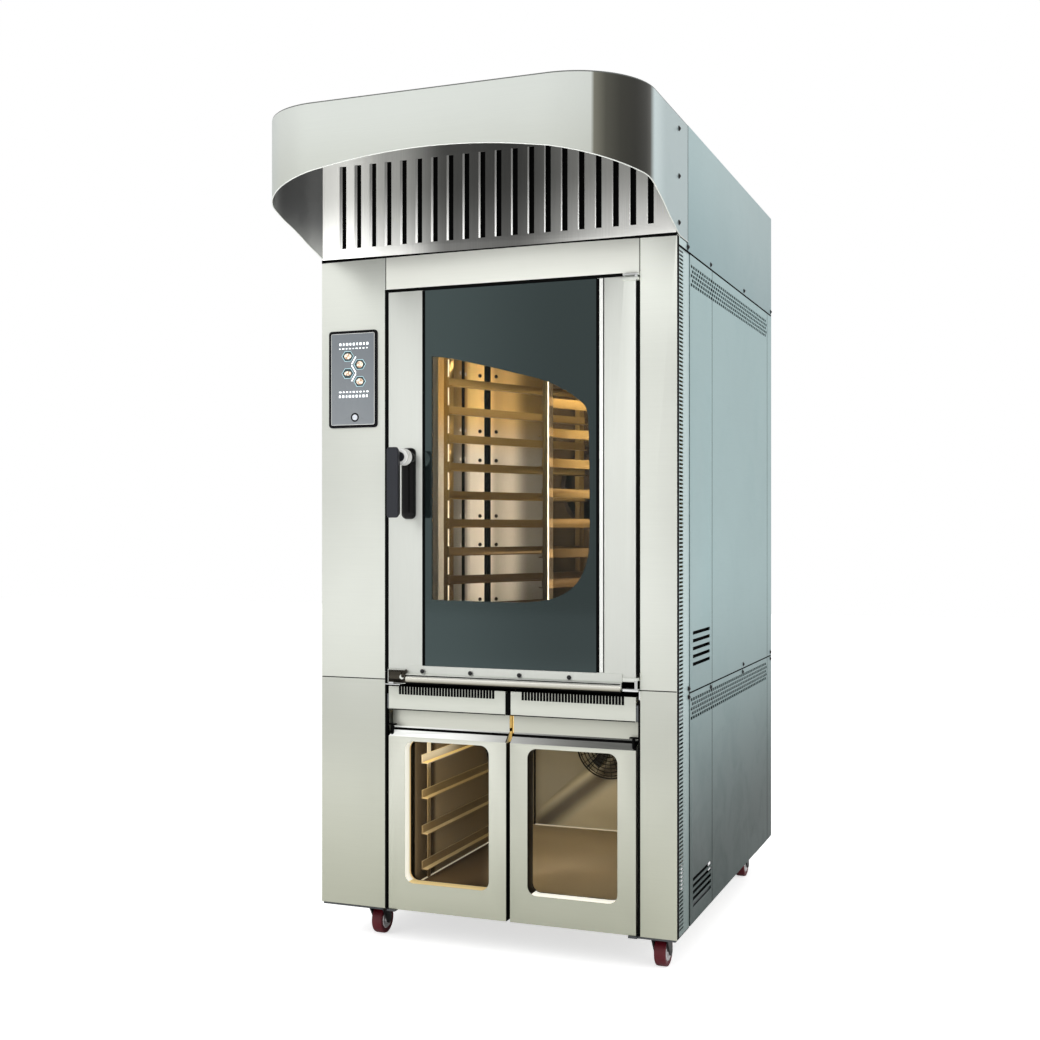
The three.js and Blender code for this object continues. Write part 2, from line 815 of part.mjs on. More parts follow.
/** A side air panel: a folded sheet from the front return round the chamfered rear corner. */
function airPanelLeft() {
  const corner = chamberBackY - chamfer;
  const backEdge = chamberLeft + chamfer;
  const turn = sheet * Math.tan(Math.PI / 8);
  const plan = [
    [linerLeft + fit, airPanelFront], [chamberLeft, airPanelFront], [chamberLeft, corner],
    [backEdge, chamberBackY], [backEdge - sheet * Math.SQRT1_2, chamberBackY + sheet * Math.SQRT1_2],
    [chamberLeft - sheet, corner + turn], [chamberLeft - sheet, airPanelFront + sheet],
    [linerLeft + fit, airPanelFront + sheet],
  ];
  const [z0, z1] = [linerFloor + fit, linerCeiling - fit];
  const [slit0, slit1] = [z0 + slitMargin, z1 - slitMargin];
  const slitY = corner - slitInset;
  const wallSlit = block(chamberLeft - 2 * sheet, chamberLeft + weld, slitY, slitY + slitWidth, slit0, slit1);
  const cornerSlit = new THREE.BoxGeometry(slitWidth, 4 * sheet, slit1 - slit0);
  cornerSlit.rotateZ(Math.PI / 4);
  const along = slitInset * Math.SQRT1_2;
  cornerSlit.translate(chamberLeft + along, corner + along, (slit0 + slit1) / 2);
  return cut(prism(plan, "z", z0, z1), wallSlit, cornerSlit);
}

/** The panel before the fan, with the fan's round inlet and a fold along each edge. */
function airPanelBack() {
  const [x0, x1] = [chamberLeft + chamfer + sheet, chamberRight - chamfer - sheet];
  const [z0, z1] = [linerFloor + fit, linerCeiling - fit];
  return cut(
    join(
      block(x0, x1, chamberBackY, chamberBackY + sheet, z0, z1),
      block(x0, x0 + sheet, chamberBackY, chamberBackY + airPanelFold, z0, z1),
      block(x1 - sheet, x1, chamberBackY, chamberBackY + airPanelFold, z0, z1)),
    rod(fanEye, "y", [chamberCentreX, fanZ],
      chamberBackY - weld, chamberBackY + sheet + weld, 2 * smallSides));
}

const fanAt = [chamberCentreX, fanZ];
const fanFront = chamberBackY + fanGap;
const fanBack = fanFront + fanDepth;

/** Tubular heaters in loops round the fan, on stays from the rear wall. */
function heaterBank() {
  const loops = range(heaterLoops).map((i) => {
    const y = fanFront + 2 * heaterTube + i * heaterPitch;
    const ring = range(heaterSides + 1).map((k) => {
      const angle = (k / heaterSides) * 2 * Math.PI;
      return [heaterRadius + heaterTube * Math.cos(angle), -y + heaterTube * Math.sin(angle)];
    });
    return turning(ring, "y", fanAt);
  });
  const stays = range(heaterStays).map((i) => {
    const angle = ((i + 0.25) / heaterStays) * 2 * Math.PI;
    const at = [fanAt[0] + heaterRadius * Math.cos(angle), fanAt[1] + heaterRadius * Math.sin(angle)];
    return rod(heaterTube - weld, "y", at, fanFront + heaterTube, linerBack - fit, 6);
  });
  return join(...loops, ...stays);
}

/** A radial impeller: back disc, inlet ring, swept blades and the shaft to the motor. */
function circulationImpeller() {
  const sweep = THREE.MathUtils.degToRad(38);
  const inner = fanEye - 2 * sheet;
  const inletRing = turning([
    [inner, -fanFront - fanDisc], [fanRadius, -fanFront - fanDisc],
    [fanRadius, -fanFront], [inner, -fanFront], [inner, -fanFront - fanDisc],
  ], "y", fanAt);
  const blades = range(fanBlades).map((i) => {
    const blade = new THREE.BoxGeometry(bladeSheet, fanDepth - sheet, bladeChord);
    blade.rotateY(sweep);
    blade.translate(0, 0, fanRadius - (bladeChord / 2) * Math.cos(sweep) - fanDisc);
    blade.rotateY((i / fanBlades) * 2 * Math.PI);
    return blade.translate(fanAt[0], (fanFront + fanBack) / 2, fanAt[1]);
  });
  return join(
    rod(fanRadius, "y", fanAt, fanBack - fanDisc, fanBack), inletRing, ...blades,
    rod(3 * fanShaft, "y", fanAt, fanBack - fanDepth / 2, fanBack, smallSides),
    rod(fanShaft, "y", fanAt, fanBack - weld, insulationBack + motorLength / 4, smallSides));
}

/** The fan motor on the back of the insulation: flange, finned body and end cap. */
function circulationMotor() {
  const seat = insulationBack + fit;
  const bodyEnd = seat + motorLength * 0.86;
  const finLength = bodyEnd - seat - 3 * motorFlange;
  const fins = range(motorFins).map((i) => {
    const fin = new THREE.BoxGeometry(finWidth, finLength, 2 * finHeight);
    fin.translate(0, 0, motorRadius);
    fin.rotateY((i / motorFins) * 2 * Math.PI);
    return fin.translate(fanAt[0], (seat + bodyEnd) / 2, fanAt[1]);
  });
  return cut(
    join(
      rod(motorRadius - motorFlange, "y", fanAt, seat, seat + motorFlange),
      rod(motorRadius, "y", fanAt, seat + motorFlange - weld, bodyEnd),
      rod(motorRadius - 2 * motorFlange, "y", fanAt, bodyEnd - weld, seat + motorLength), ...fins),
    rod(fanShaft + fit, "y", fanAt, seat - weld, seat + motorLength / 3));
}

/** The lamp behind the chamber mouth, in its two holders. */
function ovenLamp() {
  const half = lampHolder / 2;
  const [x, y] = [linerRight - lampInset, linerFlangeY + sheet + fit + half];
  const [bottom, top] = [mouthBottom + lampMargin, mouthTop - lampMargin];
  const holder = (z) => block(x - half, x + half, y - half, y + half, z, z + lampHolder);
  return join(
    rod(lampRadius, "z", [x, y], bottom, top, smallSides), holder(bottom), holder(top - lampHolder));
}

function doorGasket() {
  const shape = roundedShape(
    mouthLeft - gasketWidth, mouthRight + gasketWidth, mouthBottom - gasketWidth, mouthTop + gasketWidth,
    gasketWidth + sheet);
  shape.holes.push(roundedShape(mouthLeft, mouthRight, mouthBottom, mouthTop, 2 * sheet, THREE.Path));
  return prism(shape, "y", linerFlangeY - fit - gasketDepth, linerFlangeY - fit, 2);
}

// ---------------------------------------------------------------- rack and its drive

/** One side of the rack: two posts, top and bottom bars, and an angle rail for each tray level. */
function rackSide(side) {
  const x = side * rackHalfWidth;
  const span = (a, b) => [Math.min(a, b), Math.max(a, b)];
  const half = rackPost / 2;
  const posts = [-1, 1].map((end) =>
    block(x - half, x + half, end * rackHalfLength - half, end * rackHalfLength + half,
      rackBottom, rackTop));
  const bars = [rackBottom, rackTop - rackPost].map((z) =>
    block(x - half, x + half, -rackHalfLength, rackHalfLength, z, z + rackPost));
  const inner = x - side * half;
  const lowest = rackBottom + railFoot;
  const pitch = (rackTop - railHead - lowest) / (railLevels - 1);
  const rails = range(railLevels).flatMap((i) => {
    const z = lowest + i * pitch;
    const length = rackHalfLength + half;
    return [
      block(...span(inner + side * weld, inner - side * railThickness), -length, length,
        z - railHeight / 2, z + railHeight / 2),
      block(...span(inner, inner - side * railLedge), -length, length,
        z - railHeight / 2, z - railHeight / 2 + railThickness),
    ];
  });
  return [...posts, ...bars, ...rails];
}

function rackFrame() {
  const half = rackPost / 2;
  const cross = [rackBottom, rackTop - rackPost].flatMap((z) => [-1, 1].map((end) =>
    block(-rackHalfWidth, rackHalfWidth, end * rackHalfLength - half, end * rackHalfLength + half,
      z, z + rackPost)));
  const beam = block(-rackHalfWidth, rackHalfWidth, -beamHalf, beamHalf, rackTop - rackPost, rackTop);
  return join(...rackSide(-1), ...rackSide(1), ...cross, beam);
}

/** The carrier over the rack: a disc on the rack's top beam, and the shaft up to the gearmotor. */
function rackCarrier() {
  const seat = rackTop + fit;
  const end = bodyTop + shaftReach;
  return turning([
    [0, seat], [carrierRadius, seat], [carrierRadius, seat + carrierPlate],
    [carrierHub, seat + carrierRise / 2], [driveShaft, seat + carrierRise], [driveShaft, end], [0, end],
  ], "z", [0, 0]);
}

/** The gearmotor on the chassis bridge, bored for the carrier's shaft. */
function rackGearmotor() {
  const seat = frameTop + fit;
  const [x, y] = [chamberCentreX, chamberCentreY];
  const boxTop = seat + gearboxHeight;
  const motorAt = [y, seat + gearboxFlange / 2 + gearMotorRadius];
  const [motorStart, motorEnd] = [x + gearboxHalfWidth - weld, x + gearboxHalfWidth + gearMotorLength];
  return cut(
    join(
      block(x - gearboxHalfWidth - gearboxFlangeEdge, x + gearboxHalfWidth + gearboxFlangeEdge,
        y - gearboxHalfDepth - gearboxFlangeEdge, y + gearboxHalfDepth + gearboxFlangeEdge,
        seat, seat + gearboxFlange),
      block(x - gearboxHalfWidth, x + gearboxHalfWidth, y - gearboxHalfDepth, y + gearboxHalfDepth,
        seat + gearboxFlange - weld, boxTop),
      rod(gearboxHalfDepth - gearboxFlange, "z", [x, y], boxTop - weld, boxTop + gearboxFlangeEdge),
      rod(gearMotorRadius, "x", motorAt, motorStart, motorEnd),
      rod(gearMotorRadius - gearboxFlange, "x", motorAt, motorEnd - weld, motorEnd + gearboxFlangeEdge)),
    rod(driveShaft + fit, "z", [x, y], seat - weld, seat + gearboxHeight / 2));
}

// ---------------------------------------------------------------- oven door

const glassLeft = doorLeft + stileWidth;
const glassRight = doorRight - stileWidth;
const windowLeft = glassLeft + windowInset;
const windowRight = glassRight - windowInset;
const doorWindowBottom = glassBottom + lowerWindowRail;
const doorWindowTop = doorTop - windowRail;

/** A hinge eye with a flat tail, seen from above, for one level of the door's hinge. */
function hingeTongue(tailLeft, back, from, to) {
  const eye = new THREE.Shape();
  eye.moveTo(tailLeft, hingeY - hingeEye);
  eye.lineTo(hingeX, hingeY - hingeEye);
  eye.absarc(hingeX, hingeY, hingeEye, -Math.PI / 2, 0);
  eye.lineTo(hingeX + hingeEye, back);
  eye.lineTo(tailLeft, back);
  return prism(eye, "z", from, to, 5);
}

const lowerLug = doorBottom + lugRise;
const upperLug = doorTop - hingePlate - lugRise;

/** The latch bracket at the door's lower free corner, with its round keeper. */
function latchBracket() {
  const [x0, x1] = [doorLeft + latchInset, doorLeft + latchInset + latchWidth];
  const top = doorBottom + latchLap;
  return join(
    block(x0, x1, -latchDepth, weld, top - latchHeight, top),
    rod(latchBoss, "y", [x1 - latchBoss, top - latchHeight / 2],
      -latchBossDepth, -latchDepth + weld, smallSides));
}

/** The door frame: stiles, rails behind the glass, rebates for both panes, two hinge lugs and the latch. */
function ovenDoor() {
  const glassBack = outerGlassRecess + outerGlassThickness + fit;
  const innerSeat = doorDepth - innerGlassThickness - 2 * fit;
  const lug = (z) => cut(
    hingeTongue(hingeX - hingeReach, weld, z, z + hingePlate),
    block(doorRight + fit, width, 0, doorDepth, z - weld, z + hingePlate + weld),
    rod(hingePin / 2 + fit, "z", [hingeX, hingeY], z - weld, z + hingePlate + weld));
  const body = cut(
    block(doorLeft, doorRight, 0, doorDepth, doorBottom, doorTop),
    block(glassLeft, glassRight, -weld, glassBack, glassBottom, doorTop + weld),
    block(windowLeft, windowRight, 0, doorDepth + weld, doorWindowBottom, doorWindowTop),
    block(windowLeft - innerGlassBorder, windowRight + innerGlassBorder, innerSeat, doorDepth + weld,
      doorWindowBottom - innerGlassBorder, doorWindowTop + innerGlassBorder));
  return join(body, lug(lowerLug), lug(upperLug), latchBracket());
}

function ovenDoorGlass() {
  return block(glassLeft + fit, glassRight - fit,
    outerGlassRecess, outerGlassRecess + outerGlassThickness, glassBottom + fit, doorTop - fit);
}

function ovenDoorInnerGlass() {
  const edge = innerGlassBorder - fit;
  const back = doorDepth - fit;
  return block(windowLeft - edge, windowRight + edge, back - innerGlassThickness, back,
    doorWindowBottom - edge, doorWindowTop + edge);
}

/** The drip gutter under the door: a screwed flange and a half-round trough. */
function doorDripGutter() {
  const face = -fit;
  const troughZ = doorBottom - gutterRadius;
  const section = new THREE.Shape();
  section.moveTo(face, glassBottom);
  section.lineTo(face - sheet, glassBottom);
  section.lineTo(face - sheet, troughZ + gutterRadius);
  section.absarc(face - sheet, troughZ, gutterRadius, Math.PI / 2, 1.5 * Math.PI);
  section.lineTo(face + gutterLip, troughZ - gutterRadius);
  section.lineTo(face + gutterLip, troughZ - gutterRadius + sheet);
  section.lineTo(face - sheet, troughZ - gutterRadius + sheet);
  section.absarc(face - sheet, troughZ, gutterRadius - sheet, 1.5 * Math.PI, Math.PI / 2, true);
  section.lineTo(face, troughZ + gutterRadius - sheet);
  return prism(section, "x", doorLeft + gutterLatchInset, doorRight - gutterHingeInset, 6);
}

/** The fixed half of the lower hinge: plate, pin and the flange on the jamb. */
function hingeLower() {
  const bottom = doorBottom - 2 * gutterRadius - weld;
  const top = bottom + hingePlate;
  const wall = openingRight - fit;
  return join(
    cut(hingeTongue(hingeX - hingeReach, hingeBack, bottom, top),
      block(wall, width, -hingeBack, doorDepth, bottom - weld, top + weld)),
    block(wall - hingeWall, wall, hingeWall, hingeBack, bottom - hingeWallDrop, bottom + weld),
    rod(hingePin / 2, "z", [hingeX, hingeY], bottom + weld, lowerLug + hingePlate));
}

/** The fixed half of the upper hinge, flat between the door and the header. */
function hingeUpper() {
  const top = headerBottom - fit;
  const thickness = doorHeaderGap - 3 * fit;
  return join(
    hingeTongue(hingeX - hingeReach, hingeBack, top - thickness, top),
    rod(hingePin / 2, "z", [hingeX, hingeY], upperLug, top - weld));
}

// ---------------------------------------------------------------- door handle

/** The handle's backplate with the boss that its spindle turns in. */
function handleBase() {
  const [x0, x1] = [handleX - handleBaseWidth / 2, handleX + handleBaseWidth / 2];
  const face = -fit;
  const at = [handleX, handlePivotZ];
  return cut(
    join(
      prism(roundedShape(x0, x1, handleBaseBottom, handleBaseTop, gripCorner - weld),
        "y", face - handleBaseDepth, face),
      rod(handleBossRadius, "y", at, face - handleBossDepth, face - handleBaseDepth + weld)),
    rod(spindleRadius + fit, "y", at, face - handleBossDepth - weld, face - spindleInset + 2 * weld));
}

/** The lever: a ringed neck on the spindle, and the grip that hangs from it. */
function doorHandle() {
  const start = fit + handleBossDepth + fit;
  const at = [handleX, handlePivotZ];
  const [outer, inner] = [handleBossRadius, handleBossRadius - neckGroove];
  const neck = turning([
    [0, start], [outer - 2, start], [outer, start + 2], [outer, start + 6], [inner, start + 8],
    [inner, start + 12], [outer, start + 14], [outer, start + 18], [inner, start + 20],
    [inner, start + handleNeck], [0, start + handleNeck],
  ], "y", at);
  const grip = prism(
    roundedShape(handleX - gripWidth / 2, handleX + gripWidth / 2, gripBottom, gripTop, gripCorner), "y",
    -gripFront, gripDepth - gripFront);
  return join(neck, grip, rod(spindleRadius, "y", at, -start - weld, -fit - spindleInset));
}

// ---------------------------------------------------------------- control panel

const panelRight = panelMargin + panelWidth;
const panelTop = panelBottom + panelHeight;
const screenBottom = panelBottom + screenRise;
const buttonAt = [panelMargin + buttonInset, panelBottom + buttonRise];

function controlBezel() {
  return cut(
    prism(roundedShape(panelMargin, panelRight, panelBottom, panelTop, panelCorner),
      "y", -fit - panelDepth, -fit, 3),
    block(panelMargin + screenBorder, panelRight - screenBorder, -panelDepth - weld, weld,
      screenBottom, panelTop - screenBorder),
    rod(buttonRadius + fit, "y", buttonAt, -panelDepth - weld, weld));
}

function controlScreen() {
  const border = screenBorder + fit;
  return block(panelMargin + border, panelRight - border, -panelDepth, -2 * fit,
    screenBottom + fit, panelTop - border);
}

function startButton() {
  const front = fit + panelDepth + buttonProud;
  const back = buttonTravel + 2 * fit;
  return turning([
    [0, back], [buttonRadius, back], [buttonRadius, front - buttonChamfer],
    [buttonRadius - buttonChamfer, front], [0, front],
  ], "y", buttonAt);
}

// ---------------------------------------------------------------- proofer

/** The proofer's chamber: insulated walls round a plain box, and a flange behind the doors. */
function prooferLiner() {
  const back = prooferBack + prooferWall;
  const outerFloor = prooferFloor - prooferWall;
  return cut(
    join(
      block(prooferLeft - prooferWall, prooferRight + prooferWall, prooferFlangeY, back,
        outerFloor, prooferCeiling + prooferWall),
      block(openingLeft + prooferFlangeInset, openingRight - prooferFlangeInset,
        prooferFlangeY, prooferFlangeY + sheet, outerFloor, prooferDoorTop)),
    block(prooferLeft, prooferRight, prooferFlangeY - weld, prooferBack, prooferFloor, prooferCeiling),
    rod(prooferShaftHole, "y", prooferFanAt, prooferBack - weld, back + weld));
}

/** Tray runners on the left wall: two uprights and an angle at each level. */
function prooferRunners() {
  const wall = prooferLeft + fit;
  const face = wall + runnerThickness;
  const bottom = prooferFloor + fit;
  const half = runnerHeight / 2;
  const end = prooferBack - runnerBackGap;
  const top = bottom + runnerLowest + (runnerLevels - 1) * runnerPitch + 2 * runnerPost;
  const uprights = [runnerFront + 2 * runnerPost, end - 3 * runnerPost].map((y) =>
    block(wall, face, y, y + runnerPost, bottom, top));
  const rails = range(runnerLevels).flatMap((i) => {
    const z = bottom + runnerLowest + i * runnerPitch;
    return [
      block(face - weld, face + runnerThickness - weld, runnerFront, end, z - half, z + half),
      block(face - weld, face + runnerLedge - weld, runnerFront, end, z - half, z - half + runnerThickness),
    ];
  });
  return join(...uprights, ...rails);
}

/** The round wire guard before the proofer's fan: rings on spokes, with feet to the wall. */
function prooferFanGuard() {
  const [x, z] = prooferFanAt;
  const wall = prooferBack - fit;
  const front = wall - guardStandoff;
  const half = guardWire / 2;
  const rings = range(guardRings).map((i) => {
    const radius = guardRadius * (i + 1) / guardRings;
    return turning([
      [radius - half, -front - guardWire], [radius + half, -front - guardWire],
      [radius + half, -front], [radius - half, -front], [radius - half, -front - guardWire],
    ], "y", prooferFanAt);
  });
  const spokes = range(guardSpokes).map((i) => {
    const spoke = new THREE.BoxGeometry(2 * guardRadius, guardWire, guardWire);
    spoke.rotateY((i / guardSpokes) * Math.PI);
    return spoke.translate(x, front + guardWire, z);
  });
  const feet = range(guardSpokes).map((i) => {
    const angle = (i / guardSpokes) * 2 * Math.PI;
    const reach = guardRadius - half;
    return rod(guardWire, "y", [x + reach * Math.cos(angle), z + reach * Math.sin(angle)], front, wall, 6);
  });
  return join(...rings, ...spokes, ...feet);
}

/** The proofer's axial fan: hub, pitched blades and the shaft through the wall. */
function prooferFan() {
  const middle = prooferBack - prooferFanGap;
  const half = prooferFanHub / 2;
  const blades = range(prooferFanBlades).map((i) => {
    const blade = new THREE.BoxGeometry(prooferBladeWidth, sheet, prooferFanTip - half);
    blade.rotateZ(THREE.MathUtils.degToRad(24));
    blade.translate(0, 0, (prooferFanTip + half) / 2);
    blade.rotateY((i / prooferFanBlades) * 2 * Math.PI);
    return blade.translate(prooferFanAt[0], middle, prooferFanAt[1]);
  });
  return join(
    ...blades, rod(prooferFanHub, "y", prooferFanAt, middle - half, middle + half),
    rod(prooferShaft, "y", prooferFanAt,
      middle, prooferBack + prooferWall + prooferMotorLength / 2, smallSides));
}

/** The proofer's fan motor on the back of its chamber: flange, body and end cap. */
function prooferFanMotor() {
  const seat = prooferBack + prooferWall + fit;
  const bodyEnd = seat + prooferMotorLength;
  return cut(
    join(
      rod(prooferMotorRadius + motorFlange, "y", prooferFanAt, seat, seat + motorFlange),
      rod(prooferMotorRadius, "y", prooferFanAt, seat + motorFlange - weld, bodyEnd),
      rod(prooferMotorRadius - motorFlange, "y", prooferFanAt, bodyEnd - weld, bodyEnd + motorFlange)),
    rod(prooferShaft + fit, "y", prooferFanAt,
      seat - weld, seat + prooferMotorLength / 2 + 2 * weld, smallSides));
}

const prooferDoorWidth = (doorRight - doorLeft - prooferDoorGap) / 2;
const doorMiddle = (doorLeft + doorRight) / 2;
const prooferWindowMiddle = doorLeft + prooferDoorWidth / 2;

/** A window's outline in a proofer door, grown by `edge` on every side. */
const prooferWindowShape = (edge) => roundedShape(
  prooferWindowMiddle - windowWidth / 2 - edge, prooferWindowMiddle + windowWidth / 2 + edge,
  coverBottom + windowFoot - edge, lipBottom - windowHead + edge, windowCorner);

/** A proofer door: a face that leans back into a finger lip, under a recessed top rail. */
function prooferDoor() {
  const profile = [
    [0, coverBottom], [prooferDoorDepth, coverBottom], [prooferDoorDepth, prooferDoorTop],
    [lipRecess, prooferDoorTop], [lipRecess, lipTop], [0, lipBottom],
  ];
  const pocket = prooferDoorDepth - prooferGlass - 2 * fit;
  const back = prooferDoorDepth + weld;
  const pin = pivotRadius + fit;
  const pinAt = [prooferPivotX[0], pivotY];
  return cut(
    prism(profile, "x", doorLeft, doorLeft + prooferDoorWidth),
    prism(prooferWindowShape(0), "y", -weld, back),
    prism(prooferWindowShape(windowRebate), "y", pocket, back),
    rod(pin, "z", pinAt, coverBottom - weld, coverBottom + pivotDepth + fit, smallSides),
    rod(pin, "z", pinAt, lipTop - upperPinReach - weld, lipTop, smallSides));
}

function prooferWindow() {
  const back = prooferDoorDepth - fit;
  return prism(prooferWindowShape(windowRebate - fit), "y", back - prooferGlass, back);
}

// ---------------------------------------------------------------- castors

/** A castor fork about its swivel at the origin: crown, two legs and the axle. */
function castorFork() {
  const crownTop = bodyBottom - castorPlate - fit;
  const shoulder = crownTop - castorPlate;
  const half = wheelWidth / 2 + 2;
  const reach = crownRadius * 0.8;
  const leg = new THREE.Shape();
  leg.moveTo(-reach, shoulder);
  leg.lineTo(castorTrail - forkEye, wheelRadius - castorPlate);
  leg.absarc(castorTrail, wheelRadius, forkEye, Math.PI * 1.1, Math.PI * 2);
  leg.lineTo(reach, shoulder);
  const legs = [-half - forkThickness, half].map((x) => prism(leg, "x", x, x + forkThickness, 3));
  const crown = turning([
    [0, crownTop - crownDepth], [crownRadius - castorPlate, crownTop - crownDepth],
    [crownRadius, shoulder - weld], [crownRadius, crownTop], [0, crownTop],
  ], "z", [0, 0], smallSides);
  return join(
    crown, ...legs,
    block(-half - forkThickness, half + forkThickness, -reach, reach,
      crownTop - crownDepth - 2, shoulder - weld),
    rod(axleRadius, "x", [castorTrail, wheelRadius], -half - weld, half + weld, 8));
}

/** A wheel on the axle, a flat of its rim on the floor: tread, dished sides and a bored hub. */
function castorWheel() {
  const half = wheelWidth / 2;
  const flatTurn = Math.PI / roundSides;
  const rim = wheelRadius / Math.cos(flatTurn);
  const side = [
    [axleRadius + fit, half + weld], [hubRadius, half + weld], [hubRadius, half - axleRadius],
    [rim - axleRadius, half], [rim, half - wheelShoulder],
  ];
  const other = side.map(([radius, along]) => [radius, -along]);
  return turning([...other, ...side.reverse(), other[0]], "x", [0, 0], roundSides, flatTurn);
}

// ---------------------------------------------------------------- assembly

const oven = new THREE.Group();
const body = new THREE.Group();
body.position.set(-width / 2, (hoodReach - bodyDepth) / 2, 0);
oven.add(body);

const centreLine = width / 2;

body.add(
  piece("chassis", frameSteel, chassis()),
  piece("left_column", brushedSteel, leftColumn()),
  piece("right_column", brushedSteel, rightColumn()),
  piece("front_header", brushedSteel, frontHeader()),
  piece("right_louvre_strip", sideSteel, louvreStrip()),
  piece("left_louvre_strip", sideSteel, mirrored(louvreStrip(), centreLine)),
  piece("right_side_panel_upper", sideSteel, upperSidePanel()),
  piece("right_side_panel_lower", sideSteel, lowerSidePanel()),
  piece("left_side_panel_upper", sideSteel, mirrored(upperSidePanel(), centreLine)),
  piece("left_side_panel_lower", sideSteel, mirrored(lowerSidePanel(), centreLine)),
  piece("back_panel_upper", sideSteel, upperBackPanel()),
  piece("back_panel_lower", sideSteel, lowerBackPanel()),
  piece("vent_cover_left", brushedSteel, ventCover(doorLeft, (doorLeft + doorRight - ventCoverGap) / 2)),
  piece("vent_cover_right", brushedSteel, ventCover((doorLeft + doorRight + ventCoverGap) / 2, doorRight)),
  piece("hood_visor", visorSteel, hoodVisor()),
  piece("hood_casing", sideSteel, hoodCasing()),
  piece("hood_grille", brushedSteel, hoodGrille()),
  piece("flue_collar", frameSteel, flueCollar()),
);

body.add(
  piece("oven_liner", chamberSteel, ovenLiner()),
  piece("oven_insulation", mineralWool, ovenInsulation()),
  piece("air_panel_left", chamberSteel, airPanelLeft()),
  piece("air_panel_right", chamberSteel, mirrored(airPanelLeft(), chamberCentreX)),
  piece("air_panel_back", chamberSteel, airPanelBack()),
  piece("heater_bank", heaterMetal, heaterBank()),
  piece("circulation_impeller", frameSteel, circulationImpeller()),
  piece("circulation_motor", motorPaint, circulationMotor()),
  piece("rack_gearmotor", motorPaint, rackGearmotor()),
  piece("oven_lamp", lampGlass, ovenLamp()),
  piece("door_gasket", silicone, doorGasket()),
);

const rack = new THREE.Group();
rack.position.set(chamberCentreX, chamberCentreY, 0);
rack.rotation.z = -THREE.MathUtils.degToRad(rackTurn);
rack.add(
  piece("rack_frame", rackSteel, rackFrame()),
  piece("rack_carrier", frameSteel, rackCarrier()),
);
body.add(rack);

body.add(
  piece("oven_door", brushedSteel, ovenDoor()),
  piece("oven_door_glass", darkGlass, ovenDoorGlass()),
  piece("oven_door_inner_glass", clearGlass, ovenDoorInnerGlass()),
  piece("door_drip_gutter", brushedSteel, doorDripGutter()),
  piece("hinge_lower", chrome, hingeLower()),
  piece("hinge_upper", chrome, hingeUpper()),
  piece("handle_base", blackPlastic, handleBase()),
  piece("door_handle", blackPlastic, doorHandle()),
  piece("control_bezel", blackPlastic, controlBezel()),
  piece("control_screen", screenGlass, controlScreen()),
  piece("start_button", blackPlastic, startButton()),
);

body.add(
  piece("proofer_liner", chamberSteel, prooferLiner()),
  piece("proofer_runners_left", rackSteel, prooferRunners()),
  piece("proofer_runners_right", rackSteel, mirrored(prooferRunners(), (prooferLeft + prooferRight) / 2)),
  piece("proofer_fan_guard", chrome, prooferFanGuard()),
  piece("proofer_fan", frameSteel, prooferFan()),
  piece("proofer_fan_motor", motorPaint, prooferFanMotor()),
  piece("proofer_door_left", brushedSteel, prooferDoor()),
  piece("proofer_door_right", brushedSteel, mirrored(prooferDoor(), doorMiddle)),
  piece("proofer_window_left", clearGlass, prooferWindow()),
  piece("proofer_window_right", clearGlass, mirrored(prooferWindow(), doorMiddle)),
);

for (const [row, y] of castorY.entries()) {
  for (const [column, x] of castorX.entries()) {
    const place = `${["front", "rear"][row]}_${["left", "right"][column]}`;
    const castor = new THREE.Group();
    castor.position.set(x, y, 0);
    const wheel = piece(`castor_wheel_${place}`, redTyre, castorWheel());
    wheel.position.set(0, castorTrail, wheelRadius);
    castor.add(piece(`castor_fork_${place}`, chrome, castorFork()), wheel);
    body.add(castor);
  }
}

export default oven;
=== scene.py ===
import json
import math

import bmesh
import bpy
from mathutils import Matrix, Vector

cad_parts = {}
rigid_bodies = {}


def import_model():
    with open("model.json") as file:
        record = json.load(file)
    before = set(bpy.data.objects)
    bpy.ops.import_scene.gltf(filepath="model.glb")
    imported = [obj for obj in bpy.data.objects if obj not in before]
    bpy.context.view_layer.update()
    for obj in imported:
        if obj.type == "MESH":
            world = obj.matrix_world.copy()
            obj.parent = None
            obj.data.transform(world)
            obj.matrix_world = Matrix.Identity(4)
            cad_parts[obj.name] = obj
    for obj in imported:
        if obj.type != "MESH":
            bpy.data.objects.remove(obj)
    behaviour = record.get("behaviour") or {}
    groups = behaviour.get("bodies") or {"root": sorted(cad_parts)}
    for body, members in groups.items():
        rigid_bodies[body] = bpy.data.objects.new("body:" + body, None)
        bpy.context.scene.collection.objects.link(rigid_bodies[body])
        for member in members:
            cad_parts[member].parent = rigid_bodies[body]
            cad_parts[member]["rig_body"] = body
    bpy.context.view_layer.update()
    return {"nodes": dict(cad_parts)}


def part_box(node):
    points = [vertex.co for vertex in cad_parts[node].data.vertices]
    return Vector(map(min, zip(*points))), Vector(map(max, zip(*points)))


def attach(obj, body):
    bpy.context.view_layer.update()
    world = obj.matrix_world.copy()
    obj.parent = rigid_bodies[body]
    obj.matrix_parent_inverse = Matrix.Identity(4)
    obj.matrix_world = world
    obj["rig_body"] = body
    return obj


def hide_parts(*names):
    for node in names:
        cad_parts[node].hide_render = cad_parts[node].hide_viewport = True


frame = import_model()
nodes = frame["nodes"]
scene = bpy.context.scene
print("frame loaded:", len(nodes), "solids")

# everything below is measured in millimetres from one corner:
# x from the left side, y back from the front of the body, z up from the floor
mm = 0.001
cornerX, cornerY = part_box("left_column")[0].xy


def at(x, y, z):
    return Vector((cornerX + x * mm, cornerY + y * mm, z * mm))


def inCorner(point):
    return Vector(((point.x - cornerX) / mm, (point.y - cornerY) / mm, point.z / mm))


